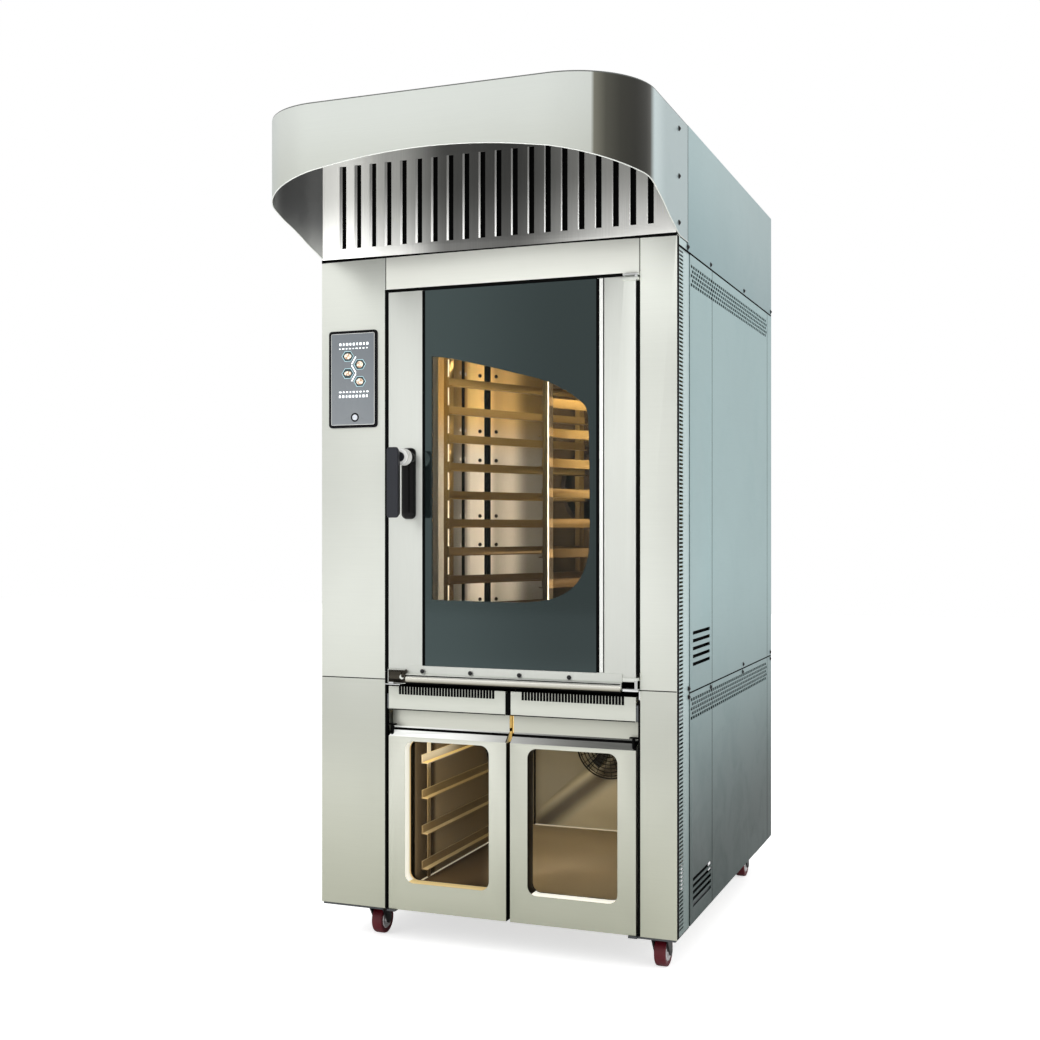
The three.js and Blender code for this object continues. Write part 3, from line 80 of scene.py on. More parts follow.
def cornerBox(node):
    return [inCorner(corner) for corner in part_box(node)]


def addNode(tree, kind, inputs=None, **settings):
    # one node of any tree: a socket among its inputs is linked and a value is set
    made = tree.nodes.new(kind)
    for name, value in settings.items():
        setattr(made, name, value)
    for name, value in (inputs or {}).items():
        if isinstance(value, bpy.types.NodeSocket):
            tree.links.new(value, made.inputs[name])
        else:
            made.inputs[name].default_value = value
    return made


def addMath(tree, operation, *values):
    return addNode(tree, "ShaderNodeMath", dict(enumerate(values)), operation=operation).outputs[0]


def newTree(name, kind, given, results):
    # sockets are (name, type, value); gives back the tree and what comes into it
    tree = bpy.data.node_groups.new(name, kind)
    for inOut, rows in (("INPUT", given), ("OUTPUT", results)):
        for label, what, *value in rows:
            made = tree.interface.new_socket(name=label, in_out=inOut, socket_type="NodeSocket" + what)
            if value:
                made.default_value = value[0]
    return tree, addNode(tree, "NodeGroupInput").outputs


# groups that the materials share

def grainGroup():
    # streaks of a brushed sheet, drawn out along one axis, and slow clouds of tone
    tree, given = newTree("brushedGrain", "ShaderNodeTree",
                          [("Stretch", "Vector", (1, 1, 1)), ("Fineness", "Float", 900), ("Depth", "Float", 0.1)],
                          [("Streaks", "Float"), ("Clouds", "Float"), ("Normal", "Vector")])
    here = addNode(tree, "ShaderNodeTexCoord").outputs["Object"]
    drawn = addNode(tree, "ShaderNodeVectorMath", {0: here, 1: given["Stretch"]}, operation="MULTIPLY")
    fine = addNode(tree, "ShaderNodeTexNoise", {"Vector": drawn.outputs[0], "Scale": given["Fineness"],
                                                "Detail": 3, "Roughness": 0.65}).outputs[0]
    clouds = addNode(tree, "ShaderNodeTexNoise", {"Vector": here, "Scale": 2.4, "Detail": 2}).outputs[0]
    bump = addNode(tree, "ShaderNodeBump", {"Strength": given["Depth"], "Distance": 0.0002, "Height": fine})
    addNode(tree, "NodeGroupOutput", {"Streaks": fine, "Clouds": clouds, "Normal": bump.outputs[0]})
    return tree


def fadeGroup():
    # goes smoothly from 0 to 1 between two places along a direction
    tree, given = newTree("fadeAlong", "ShaderNodeTree",
                          [("Direction", "Vector", (0, 0, 1)), ("Start", "Float", 0), ("End", "Float", 1)],
                          [("Fade", "Float")])
    here = addNode(tree, "ShaderNodeTexCoord").outputs["Object"]
    along = addNode(tree, "ShaderNodeVectorMath", {0: here, 1: given["Direction"]}, operation="DOT_PRODUCT")
    ramp = addNode(tree, "ShaderNodeMapRange", {"Value": along.outputs["Value"], "From Min": given["Start"],
                                                "From Max": given["End"]}, interpolation_type="SMOOTHSTEP")
    addNode(tree, "NodeGroupOutput", {"Fade": ramp.outputs[0]})
    return tree


def smudgeGroup():
    # cleaning marks and finger smears as a soft mask
    tree, given = newTree("smudges", "ShaderNodeTree", [("Size", "Float", 9), ("Cover", "Float", 0.5)],
                          [("Mask", "Float")])
    here = addNode(tree, "ShaderNodeTexCoord").outputs["Object"]
    smear = addNode(tree, "ShaderNodeTexNoise", {"Vector": here, "Scale": given["Size"], "Detail": 6,
                                                 "Roughness": 0.6, "Distortion": 0.6}).outputs[0]
    cut = addNode(tree, "ShaderNodeMapRange", {"Value": smear, "From Min": given["Cover"],
                                               "From Max": addMath(tree, "ADD", given["Cover"], 0.28)})
    addNode(tree, "NodeGroupOutput", {"Mask": cut.outputs[0]})
    return tree


def turnGroup():
    # how far a surface has turned from the front towards the right side, 0 at the front and 1 at the side
    tree, _ = newTree("cornerTurn", "ShaderNodeTree", [], [("Turn", "Float")])
    normal = addNode(tree, "ShaderNodeTexCoord").outputs["Normal"]
    parts = addNode(tree, "ShaderNodeSeparateXYZ", {0: normal}).outputs
    angle = addMath(tree, "ARCTAN2", parts["X"], addMath(tree, "MULTIPLY", parts["Y"], -1.0))
    addNode(tree, "NodeGroupOutput", {"Turn": addMath(tree, "DIVIDE", angle, math.pi / 2)})
    return tree


grain, fade, smudges, cornerTurn = grainGroup(), fadeGroup(), smudgeGroup(), turnGroup()
print("shader groups built")


class Shader:
    # one material with short calls for the nodes that this script places in it
    labels = {"color": "Base Color", "ior": "IOR", "specular": "Specular IOR Level", "tint": "Specular Tint",
              "emission": "Emission Color", "glow": "Emission Strength"}

    def __init__(self, name, **values):
        self.material = bpy.data.materials.new(name)
        self.material.use_nodes = True
        self.tree = self.material.node_tree
        self.base = self.tree.nodes["Principled BSDF"]
        self.set(**values)

    def set(self, **values):
        for name, value in values.items():
            socket = self.base.inputs[self.labels.get(name, name.capitalize())]
            if isinstance(value, bpy.types.NodeSocket):
                self.tree.links.new(value, socket)
            else:
                socket.default_value = (*value, 1) if isinstance(value, tuple) else value
        return self

    def tone(self):
        return self.base.inputs["Base Color"].links[0].from_socket

    def add(self, kind, inputs=None, **settings):
        return addNode(self.tree, "ShaderNode" + kind, inputs, **settings).outputs

    def group(self, tree, **values):
        return self.add("Group", values, node_tree=tree)

    def rise(self, direction, start, end):
        return self.group(fade, Direction=direction, Start=start, End=end)["Fade"]

    def mix(self, factor, first, second, kind="MIX"):
        tones = [(*tone, 1) if isinstance(tone, tuple) else tone for tone in (first, second)]
        return self.add("Mix", {0: factor, 6: tones[0], 7: tones[1]}, data_type="RGBA", blend_type=kind)[2]

    def between(self, value, low, high, fromLow=0.0, fromHigh=1.0):
        return self.add("MapRange", {"Value": value, "From Min": fromLow, "From Max": fromHigh,
                                     "To Min": low, "To Max": high})[0]

    def ramp(self, value, tint, levels, interpolation="EASE"):
        # a colour ramp with one tint at several levels
        made = addNode(self.tree, "ShaderNodeValToRGB", {0: value})
        made.color_ramp.interpolation = interpolation
        stops = made.color_ramp.elements
        for position, level in levels:
            stops.new(position).color = (*(level * part for part in tint), 1)
        stops.remove(stops[0])
        stops.remove(stops[-1])
        return made.outputs[0]

    def coordinate(self, axis):
        return self.add("SeparateXYZ", {0: self.add("TexCoord")["Object"]})[axis]

    def noise(self, scale, detail):
        return self.add("TexNoise", {"Vector": self.add("TexCoord")["Object"], "Scale": scale, "Detail": detail})[0]

    def bump(self, height, strength, distance):
        made = self.add("Bump", {"Height": height, "Strength": strength, "Distance": distance})
        return self.set(normal=made[0])


def steel(name, metallic=0.75, roughness=0.34, stretch=(0.02, 1, 1), fineness=420, depth=0.12,
          direction=(0, 0, 1), start=0.0, end=1.0, low=(0.56, 0.57, 0.46), high=(0.74, 0.76, 0.7),
          streaks=0.014, clouds=0.02, smear=0.08):
    # a brushed sheet: two tones along its fade, where most sheets paint their light and shade, streaks across it,
    # smears in its gloss
    shader = Shader(name, metallic=metallic, roughness=roughness)
    lines = shader.group(grain, Stretch=stretch, Fineness=fineness, Depth=depth)
    tone = shader.mix(shader.rise(direction, start, end), low, high)
    for label, share, least, most in (("Streaks", streaks, 0.25, 0.75), ("Clouds", clouds, 0.3, 0.7)):
        tone = shader.mix(1.0, tone, shader.between(lines[label], 1 - share, 1 + share, least, most), "MULTIPLY")
    marks = shader.group(smudges, Size=7, Cover=0.5)["Mask"]
    return shader.set(color=tone, normal=lines["Normal"],
                      roughness=shader.between(marks, roughness, roughness + smear))


sideLook = {"metallic": 0.35, "roughness": 0.42, "stretch": (1, 0.02, 1), "streaks": 0.02}
chamberLook = {"metallic": 0.5, "stretch": (1, 1, 0.03)}
doorLook = {"start": 0.1, "end": 0.55}
sheets = {
    # painted shade: the front sheet darkens and turns beige towards the bottom
    "frontSteel": {},
    # painted light: the header is one even lighter tone, set against the shade that the visor casts on it
    "headerSteel": {"metallic": 0.4, "low": (0.74, 0.75, 0.69), "high": (0.74, 0.75, 0.69)},
    # painted light: the door's frame is a lighter copy of the front sheet, with painted shade towards the bottom
    "doorSteel": {"stretch": (1, 1, 0.02), "low": (0.68, 0.69, 0.63), "high": (0.76, 0.78, 0.73)},
    # painted shade: the side sheets go from pale blue at the top to nearly black at the bottom, the louvres and the
    # hood's sides likewise
    "sideSteel": {**sideLook, "low": (0.03, 0.055, 0.05), "high": (0.42, 0.57, 0.58), "start": 0.18, "end": 1.05},
    "louvreSteel": {**sideLook, "low": (0.2, 0.26, 0.25), "high": (0.62, 0.76, 0.76), "start": 0.1},
    "hoodSideSteel": {**sideLook, "low": (0.36, 0.49, 0.51), "high": (0.46, 0.59, 0.6), "start": 1.8, "end": 2.2},
    "frameSteel": {"metallic": 0.8, "roughness": 0.5, "low": (0.1, 0.105, 0.11), "high": (0.2, 0.21, 0.22),
                   "stretch": (1, 1, 1), "fineness": 60, "depth": 0.2, "clouds": 0.1},
    # painted shade: the chamber's sheets darken towards the bottom, the back one nearly black
    "chamberSteel": {**chamberLook, "roughness": 0.42, "low": (0.2, 0.15, 0.09), "high": (0.3, 0.22, 0.12),
                     "start": 0.8, "end": 1.6, "clouds": 0.08},
    "chamberBackSteel": {**chamberLook, "roughness": 0.4, "low": (0.05, 0.035, 0.02), "high": (0.12, 0.085, 0.045),
                         "start": 0.9, "end": 1.7, "clouds": 0.1},
    # painted light: the rack is gold at the top and dark brown at the bottom; the right rails take a darker copy as
    # painted shade
    "rackSteel": {"metallic": 0.7, "roughness": 0.33, "stretch": (0.05, 0.05, 1), "low": (0.09, 0.06, 0.035),
                  "high": (0.42, 0.3, 0.12), "start": 0.9, "end": 1.6},
    "railSteel": {"metallic": 0.6, "roughness": 0.3, "stretch": (0.05, 0.05, 1), "low": (0.065, 0.04, 0.018),
                  "high": (0.34, 0.22, 0.07), "start": 0.95, "end": 1.62},
    # painted shade: the proofer doors darken towards the bottom, and the right door is a darker copy of the left one
    "prooferRightSteel": {**doorLook, "low": (0.5, 0.51, 0.41), "high": (0.69, 0.7, 0.61)},
    "prooferDoorSteel": {**doorLook, "high": (0.78, 0.79, 0.7)},
    # painted highlight on the top of the gutter's roll, with painted shade under it
    "rollSteel": {"low": (0.26, 0.24, 0.18), "high": (0.82, 0.81, 0.73), "start": 0.719, "end": 0.736,
                  "metallic": 0.5, "roughness": 0.24},
    # painted shade: the inside of the hood darkens towards its top
    "hoodInside": {"low": (0.24, 0.245, 0.24), "high": (0.08, 0.082, 0.085), "start": 1.87, "end": 1.99,
                   "roughness": 0.3},
    # painted shade: the flat top of the hood's band is dark, so that its edge shows as a dark line
    "roofSteel": {"low": (0.16, 0.17, 0.16), "high": (0.16, 0.17, 0.16)},
    # painted highlight: the hem along the band's lower edge is a bright line
    "hemSteel": {"low": (0.8, 0.82, 0.78), "high": (0.8, 0.82, 0.78), "metallic": 0.4},
}
for name, look in sheets.items():
    steel(name, **look)

# the front columns have their tops brightened where the hood would shade them
for name, level, glow in (("leftColumnSteel", 1.12, 0.08), ("rightColumnSteel", 1.2, 0.2)):
    column = steel(name)
    top = column.rise((0, 0, 1), 1.5, 1.86)
    lifted = column.mix(1.0, column.tone(), column.mix(top, (1, 1, 1), (level, level, level)), "MULTIPLY")
    column.set(emission=column.tone(), glow=column.between(top, 0, glow)).set(color=lifted)


def plain(name, color, roughness, metallic, fineness, depth, shift=0.12, specular=0.5):
    # moulded, cast or plated stock: grain in the surface and a slow change of tone
    shader = Shader(name, metallic=metallic, roughness=roughness, specular=specular)
    slow = shader.noise(14, 3)
    darker = tuple(c * (1 - shift) for c in color)
    lighter = tuple(min(1, c * (1 + shift)) for c in color)
    shader.set(color=shader.mix(slow, darker, lighter),
               roughness=shader.between(slow, roughness - 0.04, roughness + 0.06))
    shader.bump(shader.noise(fineness, 2), depth, 0.0003)


# name, colour, roughness, metallic, fineness and depth of the grain, change of tone, specular
for row in (
    ("polishedMetal", (0.78, 0.79, 0.79), 0.12, 1.0, 900, 0.02),
    ("bezelPlastic", (0.004, 0.004, 0.005), 0.4, 0.0, 1400, 0.05, 0.12, 0.1),
    ("sealRubber", (0.02, 0.021, 0.021), 0.7, 0.0, 900, 0.3),
    ("redTread", (0.12, 0.003, 0.01), 0.38, 0.0, 500, 0.1),
    ("motorPaint", (0.05, 0.062, 0.07), 0.42, 0.2, 700, 0.2),
    ("heaterSheath", (0.11, 0.085, 0.07), 0.45, 0.8, 800, 0.2, 0.3),
    ("mineralWool", (0.42, 0.34, 0.14), 0.95, 0.0, 260, 1.0, 0.3),
    ("screwHead", (0.008, 0.008, 0.009), 0.35, 0.3, 900, 0.05),
    ("slotShadow", (0.002, 0.002, 0.002), 0.8, 0.0, 400, 0.1, 0.12, 0.05),
    ("guardWire", (0.03, 0.03, 0.028), 0.35, 0.7, 900, 0.05),
    ("gripPlastic", (0.014, 0.015, 0.019), 0.42, 0.0, 1400, 0.2, 0.12, 0.35),
    ("platePlastic", (0.003, 0.003, 0.003), 0.2, 0.0, 1400, 0.1, 0.12, 0.2),
    ("chromeBright", (0.9, 0.91, 0.88), 0.2, 0.3, 900, 0.02),
    ("bronzeMetal", (0.06, 0.052, 0.04), 0.28, 0.8, 500, 0.1, 0.5),
    ("discSteel", (0.8, 0.78, 0.79), 0.2, 0.6, 700, 0.04),
    ("forkMetal", (0.014, 0.013, 0.014), 0.35, 0.3, 700, 0.1),
    ("trimSteel", (0.82, 0.83, 0.8), 0.25, 0.4, 700, 0.04, 0.04),
    ("buttonSteel", (0.62, 0.65, 0.7), 0.22, 0.3, 700, 0.04, 0.15),
    ("iconField", (0.03, 0.05, 0.055), 0.2, 0.0, 700, 0.02, 0.2),
    # painted shade: the dark of a shaded reveal, of the runners' undersides and of the rear wall's end
    ("revealDark", (0.012, 0.009, 0.006), 0.3, 0.2, 700, 0.05),
):
    plain(*row)

# small lit faces; the colour ripples a little. The lamp and the screen's icons really glow; the strips on the rack's
# posts and at the floor, and the bright and gold reveals of the proofer windows, are painted highlights that glow
# though they are no lamps
for name, color, strength in (
    ("lampGlow", (1.0, 0.78, 0.42), 9.0), ("iconGlow", (0.9, 0.95, 0.97), 0.7), ("rimGlow", (0.42, 0.66, 0.72), 0.25),
    ("postTrim", (0.95, 0.86, 0.66), 0.35), ("revealBright", (0.95, 0.92, 0.8), 0.6),
    ("revealGold", (0.8, 0.6, 0.28), 0.3),
):
    lit = Shader(name, color=color, emission=color, glow=strength, roughness=0.4)
    lit.set(color=lit.mix(lit.noise(30, 2), tuple(c * 0.92 for c in color), color))

glass = Shader("clearPane", color=(0.02, 0.025, 0.02), roughness=0.03, alpha=0.03, ior=1.5)
glass.bump(glass.noise(3, 1), 0.02, 0.002)
glass.set(alpha=glass.between(glass.add("Fresnel", {"IOR": 1.5})[0], 0.03, 0.9))

# painted reflection: the printed pane is darker and less glossy towards the right
enamel = Shader("windowEnamel", roughness=0.06, ior=1.9, tint=(0.76, 1.0, 1.0))
rightwards = enamel.rise((1, 0, 0), -0.2, 0.22)
enamel.set(color=enamel.mix(rightwards, (0.006, 0.009, 0.009), (0.001, 0.0015, 0.0015)),
           specular=enamel.between(rightwards, 0.56, 0.42)).bump(enamel.noise(3, 1), 0.02, 0.002)

# painted light: the gap between the proofer doors glows gold towards its top, with no lamp in it
gap = Shader("gapGlow", emission=(1.0, 0.62, 0.16), roughness=0.4)
upwards = gap.rise((0, 0, 1), 0.46, 0.6)
gap.set(color=gap.mix(upwards, (0.03, 0.02, 0.01), (0.9, 0.6, 0.2)), glow=gap.between(upwards, 0.015, 0.85))

crust = Shader("breadCrust", roughness=0.5, emission=(0.9, 0.75, 0.55), glow=0.12)
patches = crust.between(crust.noise(190, 2), 0, 1, 0.4, 0.6)
crust.set(color=crust.mix(patches, (0.34, 0.16, 0.08), (0.92, 0.84, 0.7)))

display = Shader("screenGlass", roughness=0.12, specular=0.5)
display.set(color=display.mix(display.rise((0.5, 0, 1), 1.0, 1.6), (0.2, 0.215, 0.225), (0.13, 0.145, 0.16)))
display.bump(display.noise(200, 1), 0.02, 0.0002)

# painted highlight: the leaning lip of a proofer door is bright and glows on the left and turns dark towards the
# right
lipSteel = steel("lipSteel", direction=(1, 0, 0), start=-0.3, end=0.34, metallic=0.4, low=(0.98, 0.98, 0.95),
                 high=(0.12, 0.12, 0.11), roughness=0.25, smear=0.01, clouds=0.0)
lipSteel.set(emission=(0.96, 1, 0.96), glow=lipSteel.between(lipSteel.rise((1, 0, 0), -0.3, 0.2), 0.3, 0.04))

# painted light: the runners are lighter towards the top, and the top runner glows near the door as a painted
# highlight
runnerSteel = steel("runnerSteel", metallic=0.6, roughness=0.3, stretch=(1, 0.03, 1), low=(0.3, 0.23, 0.14),
                    high=(0.5, 0.38, 0.2), start=0.2, end=0.55, depth=0.02, clouds=0.0)
topRunner = runnerSteel.rise((0, 0, 1), 0.45, 0.51)
nearDoor = runnerSteel.rise((0, 1, 0), 0.0, -0.22)
runnerSteel.set(emission=(1, 0.86, 0.58),
                glow=runnerSteel.between(addMath(runnerSteel.tree, "MULTIPLY", topRunner, nearDoor), 0, 0.65))

# painted light: the runners' upward faces are gold and glow, more so towards the top
ledgeSteel = steel("ledgeSteel", metallic=0.5, roughness=0.3, stretch=(1, 0.03, 1), low=(0.75, 0.64, 0.45),
                   high=(1.0, 0.76, 0.34), start=0.3, end=0.5, depth=0.02, clouds=0.0)
ledgeSteel.set(emission=(1, 0.66, 0.2), glow=ledgeSteel.between(ledgeSteel.rise((0, 0, 1), 0.36, 0.5), 0.08, 0.5))

# painted highlight: the left reveal of the left proofer window glows cream at the front and gold further in
cream = Shader("revealCream", roughness=0.35, glow=0.45)
inwards = cream.rise((0, 1, 0), -0.405, -0.388)
cream.set(color=cream.mix(inwards, (0.95, 0.93, 0.82), (0.72, 0.46, 0.14)),
          emission=cream.mix(inwards, (0.95, 0.93, 0.82), (0.62, 0.4, 0.12)))
print("materials built")


# helpers for meshes

def place(name, mesh, material, body, stands=()):
    piece = bpy.data.objects.new(name, mesh)
    scene.collection.objects.link(piece)
    if material:
        if mesh.materials:
            mesh.materials.clear()
        mesh.materials.append(bpy.data.materials[material])
    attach(piece, body)
    if stands:
        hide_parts(*stands)
    return piece


def repaint(piece, materials, rule):
    # some faces take another material; rule says which from a face's normal and its place
    for material in materials:
        piece.data.materials.append(bpy.data.materials[material])
    for face in piece.data.polygons:
        face.material_index = rule(face.normal, inCorner(face.center))


def shaded(mesh, angle):
    mesh.shade_smooth()
    mesh.set_sharp_from_angle(angle=math.radians(angle))
    return mesh


def meshFrom(bm, name, angle=35):
    # turns millimetres from the corner into the frame and closes the mesh
    for vert in bm.verts:
        vert.co = at(*vert.co)
    bmesh.ops.remove_doubles(bm, verts=bm.verts, dist=1e-6)
    bmesh.ops.recalc_face_normals(bm, faces=bm.faces)
    mesh = bpy.data.meshes.new(name)
    bm.to_mesh(mesh)
    bm.free()
    return shaded(mesh, angle)


def built(name, parts, material, body, slotName, stands=(), angle=35):
    # a piece from its parts, each a function with its values
    bm = bmesh.new()
    for make, *values in parts:
        make(bm, *values)
    return place(name, meshFrom(bm, name, angle), material, body, stands)


def modified(mesh, kind, change):
    # a modifier's result as a plain mesh
    worker = bpy.data.objects.new("worker", mesh)
    scene.collection.objects.link(worker)
    change(worker.modifiers.new("change", kind))
    graph = bpy.context.evaluated_depsgraph_get()
    result = bpy.data.meshes.new_from_object(worker.evaluated_get(graph))
    bpy.data.objects.remove(worker)
    bpy.data.meshes.remove(mesh)
    return result


def bevelled(mesh, width, segments=2):
    def change(bevel):
        bevel.width = width * mm
        bevel.segments = segments
        bevel.limit_method = "ANGLE"
        bevel.angle_limit = math.radians(40)
        bevel.use_clamp_overlap = True
        bevel.harden_normals = False

    return shaded(modified(mesh, "BEVEL", change), 50)


def grown(mesh, tree, **values):
    # runs a geometry tree on a mesh
    def change(modifier):
        modifier.node_group = tree
        for item in tree.interface.items_tree:
            if item.item_type == "SOCKET" and item.in_out == "INPUT" and item.name in values:
                modifier[item.identifier] = values[item.name]

    return modified(mesh, "NODES", change)


def softMesh(node, width, segments=2):
    # a copy of a sheet or a casting with its edges broken, so that they catch the light
    bm = bmesh.new()
    bm.from_mesh(nodes[node].data)
    bmesh.ops.remove_doubles(bm, verts=bm.verts, dist=2e-6)
    bmesh.ops.dissolve_limit(bm, angle_limit=math.radians(1), verts=bm.verts, edges=bm.edges)
    mesh = bpy.data.meshes.new(node)
    bm.to_mesh(mesh)
    bm.free()
    return bevelled(mesh, width, segments)


def placeNode(node, mesh, material):
    # the piece that stands in for a CAD node, under its name in camel case
    first, *words = node.split("_")
    name = first + "".join(word.capitalize() for word in words)
    mesh.name = name
    return place(name, mesh, material, nodes[node]["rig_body"], [node])


def softened(node, material, width, segments=2):
    return placeNode(node, softMesh(node, width, segments), material)


def addBlock(bm, x0, x1, y0, y1, z0, z1):
    corners = [bm.verts.new((x, y, z)) for x in (x0, x1) for y in (y0, y1) for z in (z0, z1)]
    for face in ((0, 1, 3, 2), (4, 6, 7, 5), (0, 4, 5, 1), (2, 3, 7, 6), (0, 2, 6, 4), (1, 5, 7, 3)):
        bm.faces.new([corners[i] for i in face])
    return corners


def roundBlock(bm, x0, x1, y0, y1, z0, z1, radius, segments=1):
    verts = addBlock(bm, x0, x1, y0, y1, z0, z1)
    edges = list(dict.fromkeys(edge for vert in verts for edge in vert.link_edges))
    bmesh.ops.bevel(bm, geom=edges, offset=radius, segments=segments, affect="EDGES", profile=0.5)


def addRing(bm, points):
    return [bm.verts.new(p) for p in points]


def bridge(bm, first, second, closed=True):
    count = len(first)
    for i in range(count if closed else count - 1):
        j = (i + 1) % count
        bm.faces.new((first[i], first[j], second[j], second[i]))


def addLathe(bm, profile, axis, centre, sides):
    # profile is (radius, along) pairs; an end on the axis is closed with a fan
    direction = "xyz".index(axis)
    across = [i for i in range(3) if i != direction]
    rings = []
    for radius, along in profile:
        points = []
        for k in range(sides if radius else 1):
            point = [along] * 3
            angle = 2 * math.pi * k / sides
            point[across[0]] = centre[0] + radius * math.cos(angle)
            point[across[1]] = centre[1] + radius * math.sin(angle)
            points.append(point)
        rings.append(addRing(bm, points))
    for first, second in zip(rings, rings[1:]):
        if len(first) == len(second):
            bridge(bm, first, second)
            continue
        tip, ring = (first[0], second) if len(first) == 1 else (second[0], first)
        for k in range(sides):
            bm.faces.new((tip, ring[k], ring[(k + 1) % sides]))


def addPrism(bm, outline, axis, start, end, holes=()):
    # an outline pushed along an axis; x takes (y, z) points, y takes (x, z), z takes (x, y)
    where = "xyz".index(axis)
    loops = []
    for along in (start, end):
        rings = [addRing(bm, [(*p[:where], along, *p[where:]) for p in loop]) for loop in (outline, *holes)]
        edges = [bm.edges.new((ring[i], ring[(i + 1) % len(ring)])) for ring in rings for i in range(len(ring))]
        if holes:
            bmesh.ops.triangle_fill(bm, use_beauty=True, use_dissolve=False, edges=edges)
        else:
            bm.faces.new(rings[0])
        loops.append(rings)
    for first, second in zip(*loops):
        bridge(bm, first, second)


def addTube(bm, points, radius, sides, closed=False):
    # a round bar along a path
    path = [Vector(p) for p in points]
    rings = []
    across = None
    for i, point in enumerate(path):
        before = path[i - 1] if i or closed else point
        after = path[(i + 1) % len(path)] if i + 1 < len(path) or closed else point
        along = (after - before).normalized()
        if across is None:
            across = along.orthogonal().normalized()
        across = (across - along * across.dot(along)).normalized()
        other = along.cross(across)
        angles = [2 * math.pi * k / sides for k in range(sides)]
        rings.append(addRing(bm, [point + radius * (math.cos(a) * across + math.sin(a) * other) for a in angles]))
    for first, second in zip(rings, rings[1:] + ([rings[0]] if closed else [])):
        bridge(bm, first, second)
    if not closed:
        bm.faces.new(rings[0])
        bm.faces.new(rings[-1])


def arcPoints(cx, cy, radius, start, end, steps):
    angles = [math.radians(start + (end - start) * i / steps) for i in range(steps + 1)]
    return [(cx + radius * math.cos(angle), cy + radius * math.sin(angle)) for angle in angles]


def roundedOutline(a0, a1, b0, b1, radius, steps=8):
    corners = ((a1 - radius, b0 + radius, -90), (a1 - radius, b1 - radius, 0),
               (a0 + radius, b1 - radius, 90), (a0 + radius, b0 + radius, 180))
    return [point for a, b, start in corners for point in arcPoints(a, b, radius, start, start + 90, steps)]


def oval(cx, cy, wide, tall, count):
    angles = [2 * math.pi * k / count for k in range(count)]
    return [(cx + wide * math.cos(angle), cy + tall * math.sin(angle)) for angle in angles]


def middleOf(outline):
    return Vector((sum(p[0] for p in outline), sum(p[1] for p in outline))) / len(outline)


# geometry trees: screw heads set on points, and slots cut in a row

def screwTree():
    # a domed head on a washer
    tree, given = newTree("screwsOnPoints", "GeometryNodeTree",
                          [("Geometry", "Geometry"), ("Head Radius", "Float", 0.0035),
                           ("Head Height", "Float", 0.0018), ("Facing", "Vector"), ("Material", "Material")],
                          [("Geometry", "Geometry")])
    head = addNode(tree, "GeometryNodeMeshUVSphere", {"Segments": 14, "Rings": 8, "Radius": given["Head Radius"]})
    flatness = addMath(tree, "DIVIDE", given["Head Height"], given["Head Radius"])
    sizes = addNode(tree, "ShaderNodeCombineXYZ", {0: 1, 1: 1, 2: flatness})
    flat = addNode(tree, "GeometryNodeTransform", {"Geometry": head.outputs["Mesh"], "Scale": sizes.outputs[0]})
    wide = addMath(tree, "MULTIPLY", given["Head Radius"], 1.35)
    washer = addNode(tree, "GeometryNodeMeshCylinder", {"Vertices": 16, "Radius": wide, "Depth": 0.0008})
    both = addNode(tree, "GeometryNodeJoinGeometry", {0: flat.outputs[0]})
    tree.links.new(washer.outputs["Mesh"], both.inputs[0])
    turn = addNode(tree, "FunctionNodeAlignEulerToVector", {"Vector": given["Facing"]}, axis="Z")
    points = addNode(tree, "GeometryNodeInstanceOnPoints", {"Points": given["Geometry"],
                                                            "Instance": both.outputs[0], "Rotation": turn.outputs[0]})
    real = addNode(tree, "GeometryNodeRealizeInstances", {0: points.outputs[0]})
    paint = addNode(tree, "GeometryNodeSetMaterial", {"Geometry": real.outputs[0], "Material": given["Material"]})
    addNode(tree, "NodeGroupOutput", {0: paint.outputs[0]})
    return tree


def slotTree():
    tree, given = newTree("slotsInRow", "GeometryNodeTree",
                          [("Geometry", "Geometry"), ("First", "Vector"), ("Step", "Vector"), ("Size", "Vector"),
                           ("Count", "Int"), ("Material", "Material")], [("Geometry", "Geometry")])
    row = addNode(tree, "GeometryNodeMeshLine", {"Count": given["Count"], "Start Location": given["First"],
                                                 "Offset": given["Step"]}, mode="OFFSET")
    block = addNode(tree, "GeometryNodeMeshCube", {"Size": given["Size"]})
    points = addNode(tree, "GeometryNodeInstanceOnPoints", {"Points": row.outputs[0],
                                                            "Instance": block.outputs["Mesh"]})
    real = addNode(tree, "GeometryNodeRealizeInstances", {0: points.outputs[0]})
    cut = addNode(tree, "GeometryNodeMeshBoolean", {"Mesh 1": given["Geometry"], "Mesh 2": real.outputs[0]},
                  operation="DIFFERENCE", solver="EXACT")
    paint = addNode(tree, "GeometryNodeSetMaterial", {"Geometry": cut.outputs[0], "Material": given["Material"]})
    addNode(tree, "NodeGroupOutput", {0: paint.outputs[0]})
    return tree


screwsOnPoints, slotsInRow = screwTree(), slotTree()


def slotted(mesh, material, first, step, size, count):
    return grown(mesh, slotsInRow, First=at(*first), Step=[part * mm for part in step],
                 Size=[part * mm for part in size], Count=count, Material=bpy.data.materials[material])


def screws(name, points, facing, radius=5.2, height=4.2, body="cabinet", material="screwHead"):
    mesh = bpy.data.meshes.new(name + "Points")
    mesh.from_pydata([at(*p) for p in points], [], [])
    made = grown(mesh, screwsOnPoints, **{"Head Radius": radius * mm, "Head Height": height * mm,
                                          "Facing": facing, "Material": bpy.data.materials[material]})
    made.name = name
    return place(name, shaded(made, 30), None, body)


inShadow = ("slotShadow", "cabinet", "black_plastic")
print("helpers ready")

